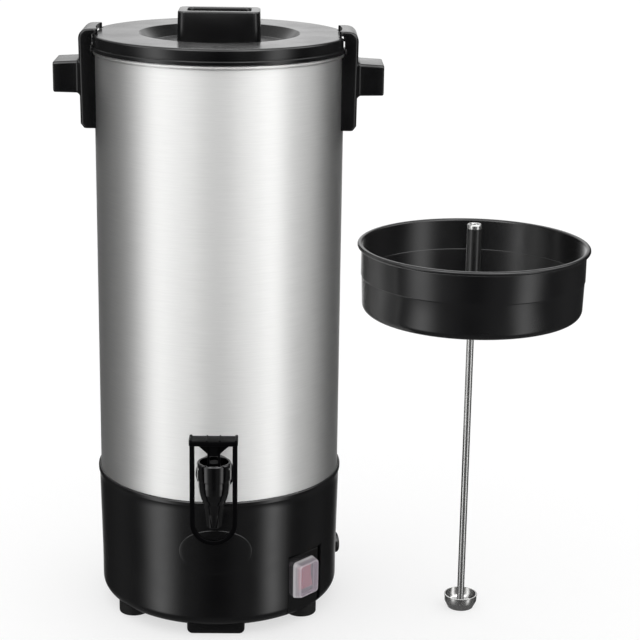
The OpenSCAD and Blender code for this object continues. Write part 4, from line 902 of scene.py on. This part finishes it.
# %% [markdown]
# ## The tap lever
# One moulding again: a paddle to pull, two side bars that run down into a round loop, so that a
# cup pushed against it opens the tap, and a pair of arms with a nose that lifts the plunger. The
# loop is a small section swept along its path; the rest are short blocks that meet.

# %% The tap lever
def swept(path, ahead_at, section):
    """A section (u, v) carried along a path in the x-z plane: u lies in that plane, v along y."""
    rings = []
    for (x, z), (tx, tz) in zip(path, ahead_at):
        rings.append(np.column_stack([x + section[:, 0] * tz, section[:, 1], z - section[:, 0] * tx]))
    return lofted(np.array(rings))


LOOP_R, LOOP_Z, WEB_TOP = 18.3, -32.5, 39.5
bend = np.radians(np.linspace(0, -180, 37))
drop = np.array([39.6, 30.0, 10.0, -10.0])
loop_path = np.concatenate([
    [(LOOP_R, z) for z in drop], np.stack([LOOP_R * np.cos(bend), LOOP_Z + LOOP_R * np.sin(bend)], 1),
    [(-LOOP_R, z) for z in drop[::-1]]])
loop_ahead = np.concatenate([[(0, -1)] * 4, np.stack([np.sin(bend), -np.cos(bend)], 1), [(0, 1)] * 4])
loop = moved(swept(loop_path, loop_ahead, rounded_box(4.2, 4.0, 0.9)), (0, -14, 0))

half_web = [(16.2, WEB_TOP), (14.2, 36.5), (7.1, 30), (3.6, 26)]
web_line = half_web + [(-x, z) for x, z in half_web[::-1]]
web_x, web_z = rounded([(x, z, 0.3) for x, z in web_line], 3).T
web = lofted(np.array([
    np.column_stack([web_x * k, np.full(len(web_x), y), WEB_TOP + (web_z - WEB_TOP) * k])
    for y, k in ((-8.6, 0.98), (-8.35, 1), (-6.25, 1), (-6, 0.98))]))
hub = turned(rounded([(1.55, 3.6, 0.1), (2.6, 3.6, 0.2), (2.6, 8.75, 0.3), (1.55, 8.75, 0.2)]), 32,
             centre=(0, -5.5, 13.5), axis=(1, 0, 0))
nose = turned(rounded([(0, 3.3, 0), (2, 3.3, 0.2), (2, 5.6, 0.2), (0, 5.6, 0)]), 32, centre=(0, 0, 13.5),
              axis=(1, 0, 0), closed=False)
lever_parts = [block(41.6, 16, 39, 43.5, 1.6, 0.8, at=(0, -12)), loop, web]
for sign in (1, -1):
    mirror = np.diag([sign, 1, 1])
    lever_parts += [block(2.6, 16, 41.5, 44.5, 1.0, 0.7, at=(sign * 19.5, -12)),
                    block(1.6, 15, 41.5, 44.3, 0.7, 0.5, at=(sign * 5.5, -12)),
                    block(2.0, 3.1, 12.5, 39.6, 0.5, 0.3, at=(sign * 4.6, -7.05)),
                    block(2.3, 5.6, 12.4, 14.6, 0.4, 0.3, at=(sign * 4.45, -2.8)),
                    moved(hub, turn=mirror), moved(nose, turn=mirror)]
lever = piece("moulded_lever", *[moved(part, TAP) for part in lever_parts], sharp=30)
dress(lever, polypropylene_matt, "tap_lever", "black_moulding", "tap_lever")

# %% [markdown]
# ## The basket
# The basket is pressed from steel sheet: a shallow cup with a rounded heel, a step half way up and
# a rim rolled into a bead. The wall is turned. The floor is pierced by rings of small holes, which
# a grid can't carry, so a triangulation fills the disc between the holes and the wall, on both
# faces of the sheet, and short walls join the two faces in each hole.

# %% Pierced plates
def pierced_plate(outer, inner, low, high, holes, radius, sides=6, turns=192, turns_in=48):
    """Both faces of a flat ring with holes, and the walls of the holes: centred, in mm.

    Circles (x + r sin a, y - r cos a) bound the ring and its holes. A triangulation that keeps their
    sides fills the disc, and triangles whose middle lies within a hole are dropped.
    """
    def ring(r, count, x=0.0, y=0.0):
        a = np.linspace(0, 2 * math.pi, count, endpoint=False)
        return np.stack([x + r * np.sin(a), y - r * np.cos(a)], 1)

    loops = [ring(outer, turns), ring(inner, turns_in)] + [ring(radius, sides, x, y) for x, y in holes]
    flat = np.concatenate(loops)
    starts = np.cumsum([0] + [len(line) for line in loops])
    rims = [(int(first + k), int(first + (k + 1) % len(line)))
            for line, first in zip(loops, starts) for k in range(len(line))]
    spots, _, faces, *_ = delaunay_2d_cdt([Vector(p) for p in flat], rims, [], 0, 1e-6)
    spots, faces = np.array([tuple(p) for p in spots]), np.array(faces)
    middle = spots[faces].mean(1)
    keep = np.hypot(*middle.T) > inner * 0.98
    for x, y in holes:
        keep &= np.hypot(middle[:, 0] - x, middle[:, 1] - y) > radius * 0.84
    faces = faces[keep]
    sheets = [(at_height(spots, z), faces, spots[faces].reshape(-1, 2) * MM) for z in (low, high)]
    for line in loops[1:]:
        walls = np.stack([at_height(line, z) for z in (low, high)])
        sheets.append(sheet_of(walls, loop_rows=False))
    return sheets


print("pierced plates ready")

# %% [markdown]
# ## The basket's sheet and its post
# The wall goes up the sheet's outside, round the bead and down the inside in one turned profile.
# The floor's holes sit on rings, each ring half a hole out of step with the last. The post is one
# moulding that slides on the pump tube and carries the basket.

# %% The basket and its post
SET = (227.0, -37.0, 0.0)
FLOOR_R, FLOOR_LOW, FLOOR_HIGH, HOLE_R, RING_STEP, HOLE_STEP = 91.5, 288, 289, 0.8, 4.5, 4.7
basket_wall = np.concatenate([
    arc(FLOOR_R, 295, 7, -90, 0, 10),
    [(99.3, 320.2), (99.45, 320.6), (99.85, 321.1), (99.9, 321.5), (99.9, 346.9)],
    arc(101.55, 348.05, 1.95, 212, 450, 16), arc(101.0, 347.9, 2.1, 90, 180, 5)[1:],
    [(98.9, 321.7), (98.8, 321.3), (98.4, 320.9), (98.3, 320.5)], arc(FLOOR_R, 295, 6, 0, -90, 10)])
strainer = []
for k, r in enumerate(np.arange(22, 67.5, RING_STEP)):
    count = int(round(2 * math.pi * r / HOLE_STEP))
    turn = 2 * math.pi * (np.arange(count) + 0.5 * (k % 2)) / count
    strainer += np.stack([r * np.sin(turn), -r * np.cos(turn)], 1).tolist()
basket_sheets = [turned(basket_wall, 192, closed=False)]
basket_sheets += pierced_plate(FLOOR_R, 6.0, FLOOR_LOW, FLOOR_HIGH, strainer, HOLE_R)
basket = piece("pressed_basket", *[moved(s, SET) for s in basket_sheets], sharp=30)
dress(basket, coating, "basket", "coated_metal", "basket")
print("strainer holes:", len(strainer))

post_profile = rounded([
    (3.6, 285, 0.2), (5.1, 285, 0.3), (5.9, 286, 0.2), (5.9, 289, 0.1), (13.5, 289, 0.1), (13.5, 290.2, 0.4),
    (10.5, 290.8, 0.5), (9.9, 306, 0.8), (7.6, 308, 0.8), (7.3, 314, 0.3), (6.4, 315, 0.3), (6.4, 364, 0.1),
    (3.6, 364, 0.1)])
post = piece("moulded_post", turned(post_profile, 72, centre=SET), sharp=30)
dress(post, polyamide, "basket", "black_post", "basket_post")

# %% [markdown]
# ## The pump
# Boiling water pushes up the tube through a cup that stands in the heating well. The tube is
# drawn steel; the cup is pressed, with a flared wall, a turned-in lip below and four holes in its
# plate. A short ferrule closes the sleeve round the tube's tip.

# %% The pump
ferrule_profile = rounded([(3.6, 364, 0.1), (6.4, 364, 0.1), (6.4, 367.2, 0.5), (5.6, 368, 0.4),
                           (4.6, 368, 0.3), (3.6, 367.2, 0.3)])
ferrule = piece("tip_ferrule", turned(ferrule_profile, 64, centre=SET))
dress(ferrule, steel_bright, "basket", "bright_steel", "sleeve_ferrule")
tube = piece("drawn_tube", turned(rounded([(2.45, 3.4, 0.1), (3.25, 3.4, 0.2), (3.25, 366.5, 0.3),
                                           (2.45, 366.5, 0.3)]), 48, centre=SET))
dress(tube, steel_bright, "pump_stem", "bright_steel", "pump_tube")

PLATE_R, PLATE_LOW, PLATE_HIGH, HOLE_CIRCLE = 11.0, 2.6, 3.4, 7.75
cup_wall = np.concatenate([
    [(PLATE_R, PLATE_HIGH)], arc(11.6, 5.2, 1.8, -90, -30, 3), [(14.3, 7.4), (14.3, 13), (15.1, 13)],
    arc(15.2, 12.7, 0.3, 90, 0, 2),
    [(15.5, 12.5), (15.1, 12.0), (14.95, 6.9), (14.7, 6.1), (13.1, 2.8), (12.8, 2.2)],
    arc(11.3, 0.7, 0.7, 0, -90, 3), [(9.8, 0)], arc(9.8, 0.4, 0.4, -90, -270, 4)[1:],
    [(11.1, 0.8), (11.1, 2.4), (PLATE_R, PLATE_LOW)]])
plate_holes = [(HOLE_CIRCLE * math.sin(a), -HOLE_CIRCLE * math.cos(a))
               for a in np.radians([45, 135, 225, 315])]
collar_profile = rounded([(3.3, 3.3, 0.1), (4.85, 3.3, 0.1), (4.85, 7.4, 0.4), (3.3, 7.4, 0.3)])
foot_sheets = [turned(cup_wall, 96, closed=False)]
foot_sheets += pierced_plate(PLATE_R, 3.25, PLATE_LOW, PLATE_HIGH, plate_holes, 1.4, sides=16, turns=96)
foot_sheets.append(turned(collar_profile, 48))
pump_cup = piece("pressed_pump_foot", *[moved(s, SET) for s in foot_sheets], sharp=30)
dress(pump_cup, steel_bright, "pump_stem", "bright_steel", "pump_foot")

# The set is kept out of reflections, so the drum stays clear of its image.
for part in (basket, post, ferrule, tube, pump_cup):
    part.visible_glossy = False

# %% [markdown]
# ## The white set
# A white world lights everything evenly, and a pale floor keeps a soft shadow. Lamps could light
# the urn too, but each of them would add a hard shadow to the floor or need careful softening,
# while a world is soft by itself.

# %% The white set
scene = bpy.context.scene
scene.view_settings.view_transform = "Standard"
world = bpy.data.worlds.new("white_room")
world.use_nodes = True
world.node_tree.nodes["Background"].inputs["Color"].default_value = (1, 1, 1, 1)
world.node_tree.nodes["Background"].inputs["Strength"].default_value = 1.0
scene.world = world

# The floor lies a little low, so that the feet's undersides don't share its plane.
FLOOR_REACH, FLOOR_DROP = 6000, 0.2
reaches = (-FLOOR_REACH, FLOOR_REACH)
corners = np.array([[(x, y, -FLOOR_DROP) for x in reaches] for y in reaches])
floor = piece("studio_floor", sheet_of(corners, loop_rows=False, loop_cols=False))
# Matt paper: a grey base and a steady glow that together come out white, with a fine tooth.
paper, tree, shader = shader_of("paper_white", Roughness=0.9, Specular_IOR_Level=0.0, Emission_Strength=0.62)
place = node(tree, "TexCoord").outputs["Object"]
tooth = node(tree, "TexNoise", {"Vector": place, "Scale": per_mm(2.5), "Detail": 3.0})
greys = {6: linear("#a9a9a9"), 7: linear("#adadad")}
tint = node(tree, "Mix", {0: tooth.outputs["Fac"], **greys}, data_type="RGBA")
feed(tree, shader, Base_Color=tint.outputs[2])
shader.inputs["Emission Color"].default_value = (1, 1, 1, 1)
floor.data.materials.append(paper)
floor.visible_glossy = False

# %% [markdown]
# ## Soft boxes
# Polished metal in a plain white room looks flat, because it mirrors nothing but white. In a
# studio, tall soft boxes and dark cards stand round it, and the metal shows their edges as long
# streaks. Here they are one function of the direction: a sum of smooth bumps, some at eye level
# and some higher up, over a dim room.

# %% Soft boxes
# Each soft box: the azimuth of its middle, how far it spreads (both in degrees), and its brightness.
EYE_LEVEL_BOXES = [(-56, 14, 2.2), (54, 10.5, 2.2), (-24, 12, 0.16), (24, 12, 0.16), (-100, 22, 0.1),
                   (100, 22, 0.1), (180, 16, 1.1)]
HIGH_BOXES = [(0, 62, 2.3), (-34, 15, 2.3), (-78, 16, 2.2), (40, 20, 2.4), (90, 21, 2.8), (-130, 30, 0.4),
              (180, 30, 1.2)]
# Between two boxes the room has this glow. The high boxes take over from 14 to 22 degrees up.
EYE_LEVEL_DIM, HIGH_DIM, RAISED_FROM, RAISED_OVER = 0.03, 0.2, 14, 8
CEILING, GROUND = 0.6, 0.15


def soft_boxes(azimuth, boxes, dim, power):
    """dim + sum of brightness exp(-|turn / spread|^power), where turn is the shorter way round."""
    turns = [(azimuth - middle + 180) % 360 - 180 for middle, _, _ in boxes]
    return dim + sum(bright * np.exp(-np.abs(turn / spread) ** power)
                     for turn, (_, spread, bright) in zip(turns, boxes))


print("soft boxes:", len(EYE_LEVEL_BOXES), "at eye level,", len(HIGH_BOXES), "higher up")

# %% [markdown]
# ## The reflection dome
# The boxes' light is written on a dome round the urn, as a value on each of its points, and the
# dome's material emits by that value. Only reflections see it, because panels that stood there
# for real would also shade the floor and show in the picture.

# %% The reflection dome
DOME_R, DOME_Z, DOME_COLS, DOME_ROWS = 3200, 300.0, 180, 90
azimuth = np.linspace(-math.pi, math.pi, DOME_COLS, endpoint=False)[None, :]
height = np.linspace(-math.pi / 2, math.pi / 2, DOME_ROWS + 1)[:, None]
dome_grid = DOME_R * np.stack([np.cos(height) * np.sin(azimuth), -np.cos(height) * np.cos(azimuth),
                               np.sin(height) + 0 * azimuth], -1) + np.array([0, 0, DOME_Z])
dome = piece("reflection_dome", sheet_of(dome_grid, loop_rows=False))
where = np.array([tuple(v.co) for v in dome.data.vertices]) / MM - np.array([0, 0, DOME_Z])
seen_at = np.degrees(np.arctan2(where[:, 0], -where[:, 1]))
seen_up = np.degrees(np.arcsin(np.clip(where[:, 2] / DOME_R, -1, 1)))
raised = np.clip((seen_up - RAISED_FROM) / RAISED_OVER, 0, 1)
at_eye_level = soft_boxes(seen_at, EYE_LEVEL_BOXES, EYE_LEVEL_DIM, 2)
high_up = soft_boxes(seen_at, HIGH_BOXES, HIGH_DIM, 4)
glow = at_eye_level + (high_up - at_eye_level) * raised
overhead, under = np.clip((seen_up - 60) / 30, 0, 1), np.clip((-seen_up - 30) / 12, 0, 1)
glow = glow * (1 - overhead) * (1 - under) + CEILING * overhead + GROUND * under
dome.data.attributes.new("glow", "FLOAT", "POINT").data.foreach_set("value", glow.astype(np.float32))
lit, tree, shader = shader_of("soft_boxes")
tree.nodes.remove(shader)
glow_value = node(tree, "Attribute", attribute_name="glow")
boxes = node(tree, "Emission", {"Color": (1, 1, 1, 1), "Strength": glow_value.outputs["Fac"]})
tree.links.new(boxes.outputs["Emission"], tree.nodes["Material Output"].inputs["Surface"])
dome.data.materials.append(lit)
lit.cycles.emission_sampling = "NONE"
for ray in ("camera", "diffuse", "transmission", "volume_scatter", "shadow"):
    setattr(dome, "visible_" + ray, False)
print("glow from", round(float(glow.min()), 2), "to", round(float(glow.max()), 2))
